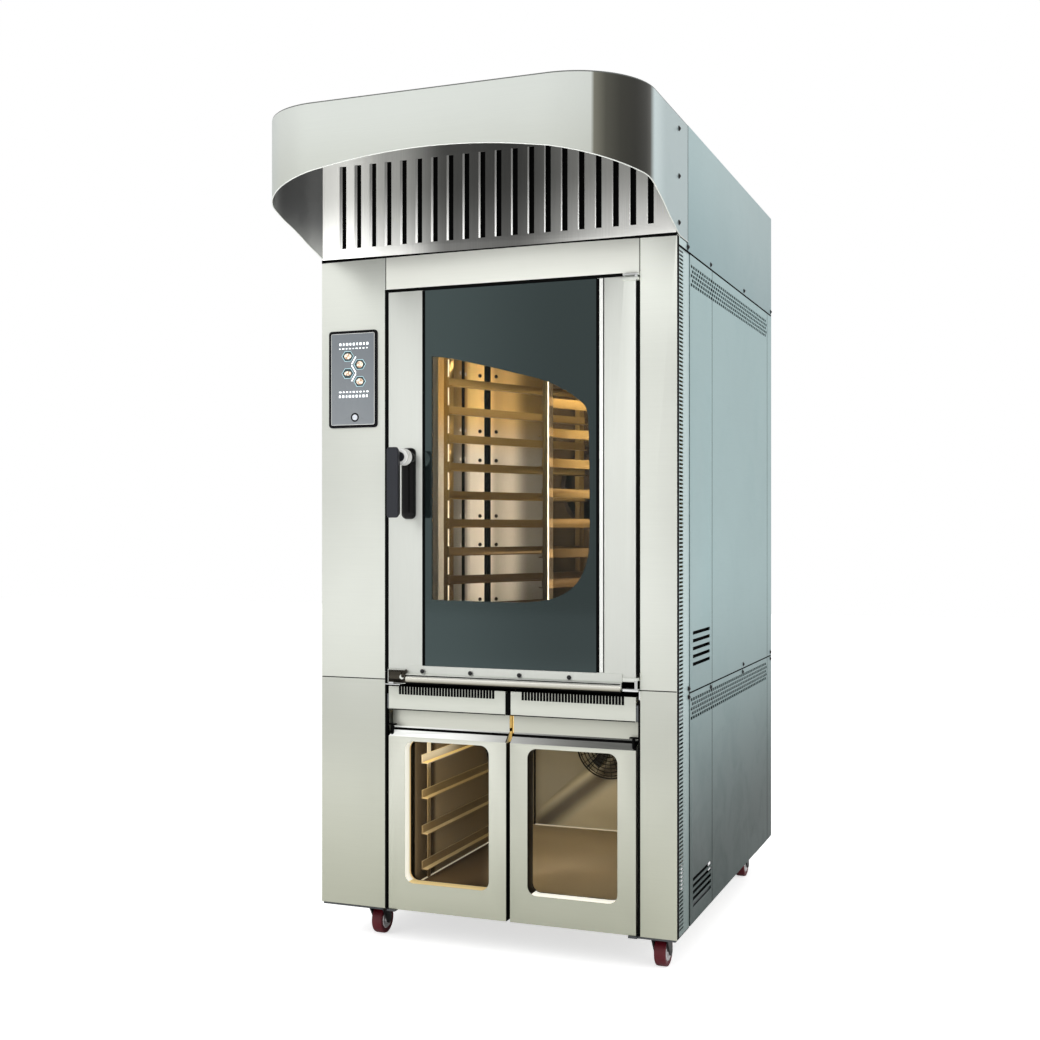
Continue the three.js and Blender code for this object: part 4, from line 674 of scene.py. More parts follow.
visor = {
    "width": 1010, "reach": 405, "corner": 200, "top": 2176, "back": 112, "sheet": 2,
    "edgeFront": 2037.6, "edgeCorner": 1957, "edgeBack": 1874, "hem": 1.3, "smoothing": 5,
    "sideSteps": (70, 40, 20, 0, -15, -30, -50, -70, -90, -110, -130, -150, -170, -190),
}


def visorPath(inset):
    # the band in plan, from the back of its left side round to the back of its right side
    radius = visor["corner"]
    bend = radius - visor["reach"]
    left = [(inset, y) for y in (visor["back"], *visor["sideSteps"])]
    right = [(visor["width"] - inset, y) for _, y in reversed(left)]
    turn = arcPoints(radius, bend, radius - inset, 180, 270, 26)
    turnBack = arcPoints(visor["width"] - radius, bend, radius - inset, 270, 360, 26)
    steps = 40
    span = visor["width"] - 2 * radius
    middle = [(radius + span * i / steps, inset - visor["reach"]) for i in range(1, steps)]
    return left + turn + middle + turnBack + right


def visorEdge(x, y):
    # the height of the band's lower edge: an arch in front, a slope down each side
    rise = visor["edgeFront"] - visor["edgeCorner"]
    bend = visor["corner"] - visor["reach"]
    if y > bend:
        along = min(1, (y - bend) / -bend)
        return visor["edgeCorner"] + (visor["edgeBack"] - visor["edgeCorner"]) * along
    half = visor["width"] / 2
    radius = (half * half + rise * rise) / (2 * rise)
    return visor["edgeFront"] - radius + math.sqrt(radius * radius - (x - half) ** 2)


def edgeHeights(path):
    # the edge along a path, averaged over neighbours so that the corner runs into the side without a kink
    heights = [visorEdge(x, y) for x, y in path]
    smooth = []
    for i in range(len(heights)):
        room = min(visor["smoothing"], i, len(heights) - 1 - i)
        smooth.append(sum(heights[i - room:i + room + 1]) / (2 * room + 1))
    return smooth


def addBand(bm):
    outer, inner = visorPath(0), visorPath(visor["sheet"])
    edge = edgeHeights(outer)
    top = visor["top"]
    rings = [addRing(bm, [(x, y, z) for (x, y), z in zip(path, edge)]) for path in (inner, outer)]
    for path, z in ((outer, top - 3.4), (visorPath(0.6), top - 1.0), (visorPath(1.8), top),
                    (inner, top - visor["sheet"])):
        rings.append(addRing(bm, [(x, y, z) for x, y in path]))
    for first, second in zip(rings, rings[1:5]):
        bridge(bm, first, second, closed=False)
    bridge(bm, rings[0], rings[5], closed=False)
    bm.faces.new(rings[4])
    bm.faces.new(rings[5])
    for end in (0, -1):
        bm.faces.new([ring[end] for ring in rings])
    bm.faces.new([rings[4][0], rings[4][-1], rings[5][-1], rings[5][0]])


def bandPaint(normal, spot):
    # 1 inside the band, painted shade, 2 on its rounded top edge, 3 on its flat top, painted dark as a shade line
    bend = visor["corner"] - visor["reach"]
    outwards = Vector((spot.x - visor["width"] / 2, min(0, spot.y - bend), 0))
    if abs(normal.z) < 0.3 and normal.dot(outwards) < 0 or normal.z < -0.5 and spot.z > visor["top"] - 6:
        return 1
    if normal.z > 0.12 and spot.z > visor["top"] - 4:
        return 3 if normal.z > 0.95 else 2
    return 0


# painted reflection: the band's colour paints what its round corner would mirror, a dark room between two bright
# sides, with a lighter tone where the right side meets the corner and a grey one round the left corner
visorSteel = steel("visorSteel", metallic=0.55, roughness=0.3, low=(0.56, 0.58, 0.53), high=(0.67, 0.7, 0.66),
                   start=1.95, end=2.18)
turned = visorSteel.group(cornerTurn)["Turn"]
cornerReflection = visorSteel.ramp(turned, (1, 0.98, 0.78), ((0.34, 0.2), (0.44, 0.08), (0.56, 0.044), (0.7, 0.03),
                                                   (0.84, 0.032), (0.93, 0.07)), "LINEAR")
backwards = visorSteel.rise((0, 1, 0), -0.62, -0.52)
sideTone = visorSteel.mix(backwards, (0.66, 0.78, 0.79), (0.5, 0.61, 0.62))
mirrored = visorSteel.tone()
for start, end, tone in ((0.325, 0.35, cornerReflection), (0.9, 0.985, sideTone), (-0.35, -1.0, (0.5, 0.58, 0.57))):
    mirrored = visorSteel.mix(visorSteel.between(turned, 0, 1, start, end), mirrored, tone)
visorSteel.set(color=mirrored)

band = built("hoodBand", [(addBand,)], "visorSteel", "cabinet", "visor_steel", ["hood_visor"], 30)
repaint(band, ["hoodInside", "roofSteel", "hoodSideSteel"], bandPaint)
hemPath = [(x, y, z + 0.5) for (x, y), z in zip(visorPath(0.2), edgeHeights(visorPath(0)))]
built("hoodHem", [(addTube, hemPath, visor["hem"], 10)], "hemSteel", "cabinet", "visor_steel", angle=60)
softened("hood_casing", "hoodSideSteel", 0.8)

# painted reflection: the grille sheet's colour paints how it mirrors the inside of the visor, bright on the left,
# dark in the middle, and the sheet glows with that colour as painted light
grilleSteel = steel("grilleSteel", stretch=(1, 1, 0.02), streaks=0.07, low=(0.95, 0.95, 0.91),
                    high=(0.5, 0.5, 0.47), start=1.885, end=2.06)
shade = grilleSteel.ramp(grilleSteel.between(grilleSteel.coordinate("X"), 0, 1, -0.5, 0.5), (1, 1, 1),
                         ((0.06, 2.3), (0.2, 1.0), (0.38, 0.17), (0.56, 0.12), (0.96, 0.84)))
grilleTone = grilleSteel.mix(1.0, grilleSteel.tone(), shade, "MULTIPLY")
grilleSteel.set(color=grilleTone, emission=grilleTone, glow=0.42)
softened("hood_grille", "grilleSteel", 0.5)
# painted highlight: bright, glowing lips on the left edges of the grille's slots, lighter towards the bottom and
# narrower towards the right
steel("slotLipSteel", low=(0.95, 0.95, 0.92), high=(0.2, 0.2, 0.19), start=1.89, end=2.1,
      metallic=0.3).set(emission=(0.9, 0.9, 0.86), glow=0.12)

grilleSlot = {"first": 60, "last": 934, "count": 20, "low": 1904, "high": 2131, "widest": 8, "least": 1}
# painted shade: a black sheet behind the grille keeps its slots dark
built("grilleFilter", [(addBlock, 20, 990, 9, 12, 1886, 2160)], *inShadow)
slotLips = []
for i in range(grilleSlot["count"]):
    x = grilleSlot["first"] + i * ((grilleSlot["last"] - grilleSlot["first"]) / (grilleSlot["count"] - 1))
    half = (grilleSlot["widest"] * (1 - i / grilleSlot["count"]) + grilleSlot["least"]) / 2
    slotLips.append((roundBlock, x - half, x + half, -1.6, -0.1, grilleSlot["low"], grilleSlot["high"], 0.6, 2))
built("grilleLips", slotLips, "slotLipSteel", "cabinet", "visor_steel")
softened("flue_collar", "frameSteel", 0.8)
print("hood built")

pivots = {"left": 200.6, "right": 908.4, "bottom": 560, "top": 606}


def pivotPaint(_, spot):
    # painted shade: the small pivots over the proofer doors are painted black, as dark as the joint around them
    return int(pivots["left"] < spot.x < pivots["right"] and pivots["bottom"] < spot.z < pivots["top"])


for node, look in (("left_column", "leftColumnSteel"), ("right_column", "rightColumnSteel"),
                   ("front_header", "headerSteel")):
    repaint(softened(node, look, 1.0), ["slotShadow"], pivotPaint)
for node in ("back_panel_upper", "back_panel_lower"):
    softened(node, "sideSteel", 0.5)
# a vent cover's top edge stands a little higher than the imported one's
coverTop = {"above": 700, "rise": 5}
for node in ("vent_cover_left", "vent_cover_right"):
    for vert in softened(node, "frontSteel", 0.5).data.vertices:
        if vert.co.z / mm > coverTop["above"]:
            vert.co.z += coverTop["rise"] * mm
softened("chassis", "frameSteel", 1.2)
print("casing built")

# louvre strips: a ladder of slots close to the front corners
louvre = {"from": 22, "to": 71, "height": 5.6, "pitch": 10, "low": 118, "high": 1852}
for node in ("right_louvre_strip", "left_louvre_strip"):
    low, high = cornerBox(node)
    cut = slotted(softMesh(node, 0.3, 1), "louvreSteel",
                  ((low.x + high.x) / 2, (louvre["from"] + louvre["to"]) / 2, louvre["low"]),
                  (0, 0, louvre["pitch"]),
                  ((high.x - low.x) * 3, louvre["to"] - louvre["from"], louvre["height"]),
                  int((louvre["high"] - louvre["low"]) / louvre["pitch"]))
    placeNode(node, shaded(cut, 30), "louvreSteel")

# rows of plain slots under the top of each side panel, staggered like bricks
slotRows = {"from": 152, "pitch": 25, "count": 41, "length": 19, "height": 8, "rise": 12, "rows": 5}
for part, top in (("upper", 1818), ("lower", 688)):
    for cadSide, x in (("right", 1008), ("left", 2)):
        node = f"{cadSide}_side_panel_{part}"
        mesh = softMesh(node, 0.4, 1)
        for row in range(slotRows["rows"]):
            start = slotRows["from"] + slotRows["pitch"] / 2 * (row % 2)
            mesh = slotted(mesh, "sideSteel", (x, start, top - row * slotRows["rise"]), (0, slotRows["pitch"], 0),
                           (12, slotRows["length"], slotRows["height"]), slotRows["count"])
        placeNode(node, shaded(mesh, 30), "sideSteel")

# dark sheets behind every slot of the casing, painted shade that keeps the slots black, and the shadow lines of its
# joints
backing = []
for x0, x1 in ((999.2, 1000.4), (9.6, 10.8)):
    backing.append((x0, x1, 22, 74, 110, 1862))
    for z0, z1 in ((1756, 1826), (628, 700), (768, 870), (138, 224)):
        backing.append((x0, x1, 136, 1206 if z1 - z0 < 75 else 376, z0, z1))
backing += [(206, 903, 62, 66, 690, 744), (380, 724, 1238, 1240, 120, 420)]
comb = {"margin": 30, "count": 33, "half": 3.4, "bottom": 685.5, "top": 708}
for x0, x1 in ((206, 547), (562, 903)):
    pitch = (x1 - x0 - 2 * comb["margin"]) / comb["count"]
    for i in range(comb["count"]):
        x = x0 + comb["margin"] + (i + 0.5) * pitch
        backing.append((x - comb["half"], x + comb["half"], -0.25, 0.6, comb["bottom"], comb["top"]))
backing += [(x0, x1, 3, 5, 683, 705.5) for x0, x1 in ((210, 545), (564, 900))]
built("slotBacking", [(addBlock, *row) for row in backing], *inShadow)
lines = []
for x in (1009.6, -0.2):
    for y0, y1, z0, z1 in ((1.2, 20.4, 103, 1871), (131.2, 1251, 706, 710), (20.8, 1251, 1846, 1851),
                           (130.8, 131.8, 103, 1847)):
        lines.append((x, x + 0.6, y0, y1, z0, z1))
    lines += [(x, x + 0.5, y, y + 3.6, 103, 1847) for y in (383, 1181)]
    lines.append((x, x + 0.6, 110.6, 113.4, 1850, 2174))
lines += [(x0, x1, -0.2, 0.4, 723.8, 726) for x0, x1 in ((1, 196), (914, 1009))]
lines += [(x, x + 2, -0.2, 0.4, 1785, 1872) for x in (196.2, 912.6)]
built("seamLines", [(addBlock, *row) for row in lines], *inShadow)
joint = [(0, 1868.5, 1877), (390, 1871.5, 1875), (640, 1872.5, 1875), (1010, 1868.5, 1877)]
built("hoodJoint", [(addPrism, ((a, low), (b, low2), (b, high2), (a, high)), "y", -0.9, 0.3)
                    for (a, low, high), (b, low2, high2) in zip(joint, joint[1:])], *inShadow)
print("louvres, slots and joints built")


# oven door: its frame, the printed outer pane with a clear window, the seals at its panes, and black strips of
# painted shade in its gaps
def smoothOutline(points, steps=7):
    # a curve through the points, sharp at the first and the last one
    count = len(points)
    corners = {0, count - 1}
    curve = []
    for i in range(count):
        p0, p1, p2, p3 = (Vector(points[(i + k) % count]) for k in (-1, 0, 1, 2))
        if i in corners and (i + 1) % count in corners:
            curve.append(tuple(p1))
            continue
        if i in corners:
            p0 = 2 * p1 - p2
        if (i + 1) % count in corners:
            p3 = 2 * p2 - p1
        for t in (k / steps for k in range(steps)):
            curve.append(tuple(0.5 * ((2 * p1) + (p2 - p0) * t + (2 * p0 - 5 * p1 + 4 * p2 - p3) * t * t
                                      + (3 * p1 - p0 - 3 * p2 + p3) * t ** 3)))
    return curve


def shrunk(outline, amount):
    middle = middleOf(outline)
    return [tuple(Vector(p) - (Vector(p) - middle).normalized() * amount) for p in outline]


windowOutline = smoothOutline([
    (333, 1597), (386, 1589), (488, 1565), (572, 1543), (654, 1520), (711, 1493), (751, 1465), (770, 1442),
    (776, 1393), (778.5, 1257), (778.5, 1121), (774, 1061), (758, 1015), (727, 977), (678, 953), (605, 942),
    (522, 941), (333, 943),
])
pane = {"outline": (309.3, 799.7, 765.3, 1774.7), "corner": 2, "front": 3.0, "back": 9.0}
softened("oven_door", "doorSteel", 1.2)
built("printedPane", [(addPrism, roundedOutline(*pane["outline"], pane["corner"], 3), "y", pane["front"],
                       pane["back"], [windowOutline])],
      "windowEnamel", "oven_door", "dark_glass", ["oven_door_glass"])
built("windowPane", [(addPrism, shrunk(windowOutline, 0.4), "y", pane["front"] + 0.6, pane["back"] - 0.6)],
      "clearPane", "oven_door", "clear_glass")
low, high = cornerBox("oven_door_inner_glass")
built("innerPane", [(roundBlock, low.x, high.x, low.y, high.y, low.z, high.z, 0.8)],
      "clearPane", "oven_door", "clear_glass", ["oven_door_inner_glass"])
# black seals along the panes' edges; right of the stile's strip a black line of painted shade
built("paneSeals", [(roundBlock, 306.6, 312.2, -0.7, 2.9, 766, 1774.2, 0.4),
                    (roundBlock, 797.6, 806.4, -0.7, 2.9, 766, 1774.2, 0.4),
                    (roundBlock, 816.4, 819, -0.7, -0.02, 766.5, 1774, 0.2)],
      "slotShadow", "oven_door", "silicone")
built("stileTrim", [(roundBlock, 806.6, 816.2, -1.2, -0.02, 766.5, 1774, 0.3)],
      "trimSteel", "oven_door", "front_steel")
# painted shade: black strips fill the gaps round the doors and between the vent covers
gapShade = [(roundBlock, *row, 0.4) for row in ((194.6, 204.4, -0.7, 15, 746, 1783.6),
                                             (904.4, 914.4, -0.7, 15, 768, 1762),
                                             (204.2, 868, -0.7, 8, 1775.8, 1783.6),
                                             (194.8, 200.4, -0.6, 15, 103, 745),
                                             (909.2, 914.6, -0.6, 15, 103, 698))]
gapShade += [(addBlock, *row) for row in ((547.4, 561.6, 0.4, 9, 644, 702), (207, 546.6, -0.5, -0.05, 643.6, 646),
                                       (562.4, 902, -0.5, -0.05, 643.6, 646))]
built("gapSeals", gapShade, "slotShadow", "cabinet", "silicone")
softened("door_gasket", "sealRubber", 3.0, 3)
print("oven door built")


# door handle: backplate, ringed neck and the hanging grip
def tapered(bm, outline, offsets):
    # loops of one (x, z) outline set back along y; each offset is (y, how far the loop is drawn in)
    middle = middleOf(outline)
    half = Vector((max(abs(p[0] - middle.x) for p in outline), max(abs(p[1] - middle.y) for p in outline)))
    loops = []
    for y, inset in offsets:
        scaleX, scaleZ = (half.x - inset) / half.x, (half.y - inset) / half.y
        loops.append(addRing(bm, [(middle.x + (p[0] - middle.x) * scaleX, y, middle.y + (p[1] - middle.y) * scaleZ)
                                  for p in outline]))
    for first, second in zip(loops, loops[1:]):
        bridge(bm, first, second)
    bm.faces.new(loops[0])
    bm.faces.new(loops[-1])


handle = {"pivot": (273, 1325), "grip": (251, 284, 1163, 1349), "front": -104, "back": -70,
          "base": (247, 288, 1160, 1352), "rings": (-38, -49, -60), "ring": 22.5}
front, back, ring = handle["front"], handle["back"], handle["ring"]
grip = [(back, 10), (back - 1.6, 8.4), (front + 8, 1), (front + 5, 0.2), (front + 3.2, 0), (front + 1.4, 0.6),
        (front + 0.4, 1.8), (front, 3.6)]
neck = [(0, -34.8), (12.2, -34.8), (12.6, -35.4), (12.6, back + 0.6), (0, back + 0.6)]
built("handleGrip", [(tapered, roundedOutline(*handle["grip"], 6.5), grip),
                     (addLathe, neck, "y", handle["pivot"], 40)],
      "gripPlastic", "door_handle", "black_plastic", ["door_handle"], 40)
ringProfile = ((12.4, 0), (ring - 1.2, 0), (ring - 0.3, -0.9), (ring, -2.4), (ring, -4.6), (ring - 0.3, -6.1),
               (ring - 1.2, -7), (12.4, -7), (12.4, 0))
built("handleRings", [(addLathe, [(radius, y + along) for radius, along in ringProfile], "y", handle["pivot"], 44)
                      for y in handle["rings"]],
      "chromeBright", "door_handle", "bright_metal")
base = [(-0.35, 0), (-4, 0), (-8, 1.2), (-12, 3.6), (-15, 7), (-16.6, 11), (-17.2, 15)]
boss = [(0, -10), (17.4, -10), (17.4, -33), (16.4, -34.2), (0, -34.2)]
built("handleBase", [(tapered, roundedOutline(*handle["base"], 14, 10), base),
                     (addLathe, boss, "y", handle["pivot"], 44)],
      "platePlastic", "oven_door", "black_plastic", ["handle_base"], 40)
print("handle built")

# control panel: frame, glossy face, icons and the start button
panel = {"outline": (25, 173, 1411, 1677), "rim": 8.5, "button": (106, 1439), "faceY": -6.35}
buttonHole = oval(*panel["button"], 8.1, 8.1, 40)


def panelSlab(name, inset, radius, steps, front, back, edge, look, stands=()):
    # a plate of the panel with the button's hole through it
    left, right, bottom, top = panel["outline"]
    bm = bmesh.new()
    outline = roundedOutline(left + inset, right - inset, bottom + inset, top - inset, radius, steps)
    addPrism(bm, outline, "y", front, back, holes=[buttonHole])
    place(name, bevelled(meshFrom(bm, name), edge), look, "cabinet", stands)


panelSlab("panelFrame", 0, 9, 8, -5.3, -0.3, 1.4, "bezelPlastic", ["control_bezel"])
panelSlab("panelEdge", panel["rim"] - 1.1, 4, 5, -6.0, -4.6, 0.3, "trimSteel")
panelSlab("panelFace", panel["rim"], 3, 5, -6.3, -4.6, 0.25, "screenGlass", ["control_screen"])

faceY = panel["faceY"]
hexagons = [(84, 1607), (121, 1583.5), (84, 1560), (121, 1537)]
fields = [(addPrism, oval(x, z, 17, 14.6, 6), "y", faceY - 0.05, faceY + 0.1) for x, z in hexagons]
rims = [(addPrism, oval(x, z, 18.6, 16, 6), "y", faceY - 0.02, faceY + 0.1, [oval(x, z, 17.2, 14.8, 6)])
        for x, z in hexagons]
loaves = []
for (x, z), (wide, tall) in zip(hexagons, ((11, 8), (9.5, 9), (11, 6), (10.5, 8.5))):
    crumb = [(x + wide * a * (1 + 0.08 * math.sin(3 * k)), z + tall * b)
             for k, (a, b) in enumerate(oval(0, 0, 1, 1, 24))]
    loaves.append((addPrism, crumb, "y", faceY - 0.1, faceY))
marks = []
for (x0, z0), (x1, z1) in zip(hexagons, hexagons[1:]):
    middle = Vector(((x0 + x1) / 2, (z0 + z1) / 2))
    along = Vector((x1 - x0, z1 - z0)).normalized()
    across = Vector((-along.y, along.x))
    bar = [tuple(middle + across * a + along * b) for a, b in ((-12, -1.6), (12, -1.6), (12, 1.6), (-12, 1.6))]
    marks.append((addPrism, bar, "y", faceY - 0.06, faceY + 0.1))
for row, (z, height) in enumerate(((1640, 7), (1628, 3), (1509, 4), (1497, 7))):
    for k in range(9):
        x = 61 + k * 10.4 - 1.5 * (row % 2)
        wide = (3.2, 2.2, 3.6, 2.6)[(k + row) % 4]
        marks.append((addPrism, roundedOutline(x - wide, x + wide, z - height / 2, z + height / 2, 1.2, 3),
                      "y", faceY - 0.05, faceY + 0.1))
for name, parts, look in (("iconFields", fields, "iconField"), ("iconRims", rims, "rimGlow"),
                          ("iconMarks", marks, "iconGlow"), ("iconLoaves", loaves, "breadCrust")):
    built(name, parts, look, "cabinet", "screen")
collar = [(8.3, -6.1), (11.6, -6.1), (12.2, -6.5), (11.8, -6.9), (8.6, -6.9), (8.3, -6.1)]
built("buttonRing", [(addLathe, collar, "y", panel["button"], 40)], "bezelPlastic", "cabinet", "black_plastic")
cap = [(0, -2.2), (7.8, -2.2), (7.8, -6.8), (7.2, -7.4), (5.6, -7.7), (0, -7.9)]
built("startButton", [(addLathe, cap, "y", panel["button"], 40)],
      "buttonSteel", "start_button", "black_plastic", ["start_button"])
print("panel built")

# the gutter under the door, the hinges and the latch bracket
softened("door_drip_gutter", "doorSteel", 0.6)
gutterY = cornerBox("door_drip_gutter")[0].y
screws("gutterScrews", [(x, gutterY + 7.2, 751) for x in (309, 449, 588, 726)], (0, -1, 0), 4.4, 2.0, "oven_door")
built("gutterRoll", [(addTube, [(x, gutterY + 6, 728.5) for x in (264, 866)], 9.6, 24)],
      "rollSteel", "oven_door", "front_steel", angle=50)
built("gutterShadow", [(addBlock, 264, 866, gutterY - 0.6, gutterY + 8, 716.8, 720.4),
                       (addBlock, 264, 866, gutterY - 2.4, gutterY + 4, 738.6, 740.4)],
      "slotShadow", "oven_door", "silicone")
for node in ("hinge_lower", "hinge_upper"):
    softened(node, "polishedMetal", 0.8)
built("latchBracket", [(roundBlock, 208, 262, -9, -0.3, 716, 754, 1.5, 2),
                       (roundBlock, 214, 250, -14, -8, 728, 748, 1.5, 2),
                       (addLathe, [(0, -18), (5, -18), (6.5, -16.5), (6.5, -8)], "y", (257, 738), 28)],
      "bronzeMetal", "oven_door", "bright_metal")
built("latchPlate", [(roundBlock, 207, 252, -24, -1, 713.5, 716.4, 1.0, 2),
                     (roundBlock, 216, 230, -20, -5, 716.2, 721, 1.0, 2)],
      "polishedMetal", "oven_door", "bright_metal")
print("gutter and hinges built")

# proofer: chamber, runners, fan and its wire guard, doors and panes
liner = steel("prooferLinerSteel", metallic=0.45, stretch=(1, 1, 0.03), low=(0.62, 0.55, 0.38),
              high=(0.82, 0.8, 0.66), start=0.15, end=0.6, depth=0.03, clouds=0.06)
# painted shade: a shade that falls across the rear wall, the darker end of that wall beside the left door, and the
# dark near end
across = (0.62, 0, -0.78)
shadeBand = addMath(liner.tree, "MULTIPLY", liner.rise(across, -0.282, -0.246), liner.rise(across, -0.19, -0.238))
linerTone = liner.mix(shadeBand, liner.tone(), (0.15, 0.125, 0.09))
linerTone = liner.mix(liner.rise((1, 0, 0), -0.23, -0.18), (0.3, 0.235, 0.15), linerTone)
liner.set(color=liner.mix(liner.rise((0, 1, 0), -0.235, -0.205), (0.05, 0.035, 0.02), linerTone))
# painted shade: the floor is dark where it is seen through the left door, and the rest glows a little as painted
# light
floorSteel = steel("prooferFloor", metallic=0.2, roughness=0.3, low=(0.8, 0.63, 0.38), high=(0.8, 0.63, 0.38),
                   clouds=0.12, depth=0.03)
farFloor = floorSteel.rise((1, 0.413, 0), -0.21, -0.09)
floorSteel.set(color=floorSteel.mix(farFloor, (0.13, 0.09, 0.055), floorSteel.tone()), emission=(1, 0.8, 0.5),
               glow=floorSteel.between(farFloor, 0, 0.03))
floorFace = {"above": 169, "below": 172.5, "drop": 16}


def sunk(piece):
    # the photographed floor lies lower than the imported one, so its inner face and what stands on it go down
    for vert in piece.data.vertices:
        if floorFace["above"] < vert.co.z / mm < floorFace["below"]:
            vert.co.z -= floorFace["drop"] * mm


prooferLiner = softened("proofer_liner", "prooferLinerSteel", 0.8, 1)
repaint(prooferLiner, ["prooferFloor"], lambda normal, spot: 1 if normal.z > 0.7 and 160 < spot.z < 180 else 0)
sunk(prooferLiner)
for cadSide in ("left", "right"):
    runners = softened("proofer_runners_" + cadSide, "runnerSteel", 0.8)
    # painted light and shade by facing: upward faces take the glowing gold, downward faces the dark
    repaint(runners, ["ledgeSteel", "revealDark"],
            lambda normal, _: 1 if normal.z > 0.7 else 2 if normal.z < -0.7 else 0)
    sunk(runners)
softened("proofer_fan", "frameSteel", 0.6)
softened("proofer_fan_motor", "motorPaint", 1.5)

guard = {"centre": (560, 435), "front": 863.7, "rings": (14, 26, 38, 50, 62, 74, 86, 98), "rim": 106, "foot": 899.6}


def guardPoints(radius, count, y):
    return [(x, y, z) for x, z in oval(*guard["centre"], radius, radius, count)]


def spoke(angle, places):
    # points of the guard at (radius, y) places in one direction
    x, z = guard["centre"]
    return [(x + radius * math.cos(angle), y, z + radius * math.sin(angle)) for radius, y in places]


wireY = guard["front"]
wires = [(addTube, guardPoints(radius, 40, wireY), 1.7, 8, True) for radius in guard["rings"]]
wires += [(addTube, spoke(math.pi * k / 12 + 0.1, ((24, wireY + 1.6), (105, wireY + 1.6))), 1.1, 6)
          for k in range(24)]
wires.append((addTube, guardPoints(guard["rim"], 48, wireY + 2), 2.6, 10, True))
for angle in (math.pi * (0.25 + 0.5 * k) for k in range(4)):
    wires.append((addTube, spoke(angle, [(radius, wireY + 3) for radius in (12, 60, guard["rim"])]), 2.0, 8))
    wires.append((addTube, spoke(angle, [(guard["rim"], y) for y in (wireY + 2, 880, guard["foot"])]), 2.4, 8))
built("fanGuard", wires, "guardWire", "cabinet", "bright_metal", ["proofer_fan_guard"], 60)

lip = {"bottom": 572, "top": 596, "recess": 26, "faceFrom": 570, "faceTo": 598, "endFrom": 571, "endTo": 600,
       "endReach": 7, "faceDepth": 27, "endDepth": 30}
reveal = {"wide": 245, "bottom": 174, "top": 562, "front": 1.2, "back": 44, "left": 26, "low": 205, "spare": 2}


def lipStrip(bm, x0, x1, z0, z1):
    # painted shade: a thin dark strip on the leaning face of a door's lip
    slope = lip["recess"] / (lip["top"] - lip["bottom"])
    outline = [(slope * (z - lip["bottom"]) + out, z) for z, out in ((z0, -0.7), (z0, 1), (z1, 1), (z1, -0.7))]
    addPrism(bm, outline, "x", x0, x1)


def doorPaint(normal, spot, edges, opening):
    # 4 on the ends of the lip, 1 on its face, 2 and 3 on the left and the lower side of the opening. All of it is
    # painted light and shade: black ends, a highlight on the lip, glowing reveals in the left door, and in the right
    # door a dark left reveal over a glowing lower one
    nearEnd = min(abs(spot.x - edge) for edge in edges) < lip["endReach"]
    if nearEnd and lip["endFrom"] < spot.z < lip["endTo"] and spot.y < lip["endDepth"]:
        return 4
    leaning = normal.z > 0.3 and normal.y < -0.2
    if leaning and lip["faceFrom"] < spot.z < lip["faceTo"] and spot.y < lip["faceDepth"]:
        return 1
    across = opening - reveal["spare"] < spot.x < opening + reveal["wide"] + reveal["spare"]
    if across and reveal["bottom"] < spot.z < reveal["top"] and reveal["front"] < spot.y < reveal["back"]:
        if normal.x > 0.6 and spot.x < opening + reveal["left"]:
            return 2
        if normal.z > 0.5 and spot.z < reveal["low"]:
            return 3
    return 0


for cadSide, look, reveals, edges, opening, ends in (
    ("left", "prooferDoorSteel", ["revealCream", "revealGold"], (206, 549), 254.75, (6, 2)),
    ("right", "prooferRightSteel", ["revealDark", "revealBright"], (560, 903), 609.25, (2, 7)),
):
    body = "proofer_door_" + cadSide
    door = softened(body, look, 1.6, 3)
    repaint(door, ["lipSteel", *reveals, "slotShadow"],
            lambda normal, spot: doorPaint(normal, spot, edges, opening))
    softened("proofer_window_" + cadSide, "clearPane", 0.8, 1)
    low, high = cornerBox("proofer_window_" + cadSide)
    outer, inner = [roundedOutline(low.x + inset, high.x - inset, low.z + inset, high.z - inset, radius, 10)
                    for inset, radius in ((6, 26), (10.4, 24.6))]
    built("windowSeal" + cadSide.capitalize(), [(addPrism, outer, "y", low.y - 2.6, low.y - 0.2, [inner])],
          "sealRubber", body, "silicone")
    # painted shade: dark lines on the lip at its top and its ends, and on the left door along its edge by the gap
    strips = [(lipStrip, edges[0] - 0.1, edges[1] + 0.1, 587, 592.8),
              (lipStrip, edges[0] - 0.2, edges[0] + ends[0], 586.8, 595.4),
              (lipStrip, edges[1] - ends[1], edges[1] + 0.2, 572.6, 593)]
    if cadSide == "left":
        strips += [(addBlock, 549.02, 550.4, 1, 40, 103, 570), (addBlock, 549.02, 550.4, 27, 40, 598, 606)]
    built("doorEdge" + cadSide.capitalize(), strips, "slotShadow", body, "silicone")

# painted light: a glowing strip in the gap between the proofer doors
built("gapLight", [(roundBlock, 550.2, 559.8, 45.2, 46.3, 104, 640, 0.3)], "gapGlow", "cabinet", "lamp_glass")
built("rearShade", [(addBlock, x0, x1, 897, 899.6, 155, 620) for x0, x1 in ((230, 276), (291, 297))],
      "revealDark", "cabinet", "chamber_steel")
# painted highlight: glowing lines along the foot of the rear wall and the left wall
built("floorLines", [(addBlock, 297, 880, 894, 899.6, 154.2, 157.4), (addBlock, 250.1, 253, 70, 893, 154.2, 157.2)],
      "postTrim", "cabinet", "chamber_steel")
print("proofer built")

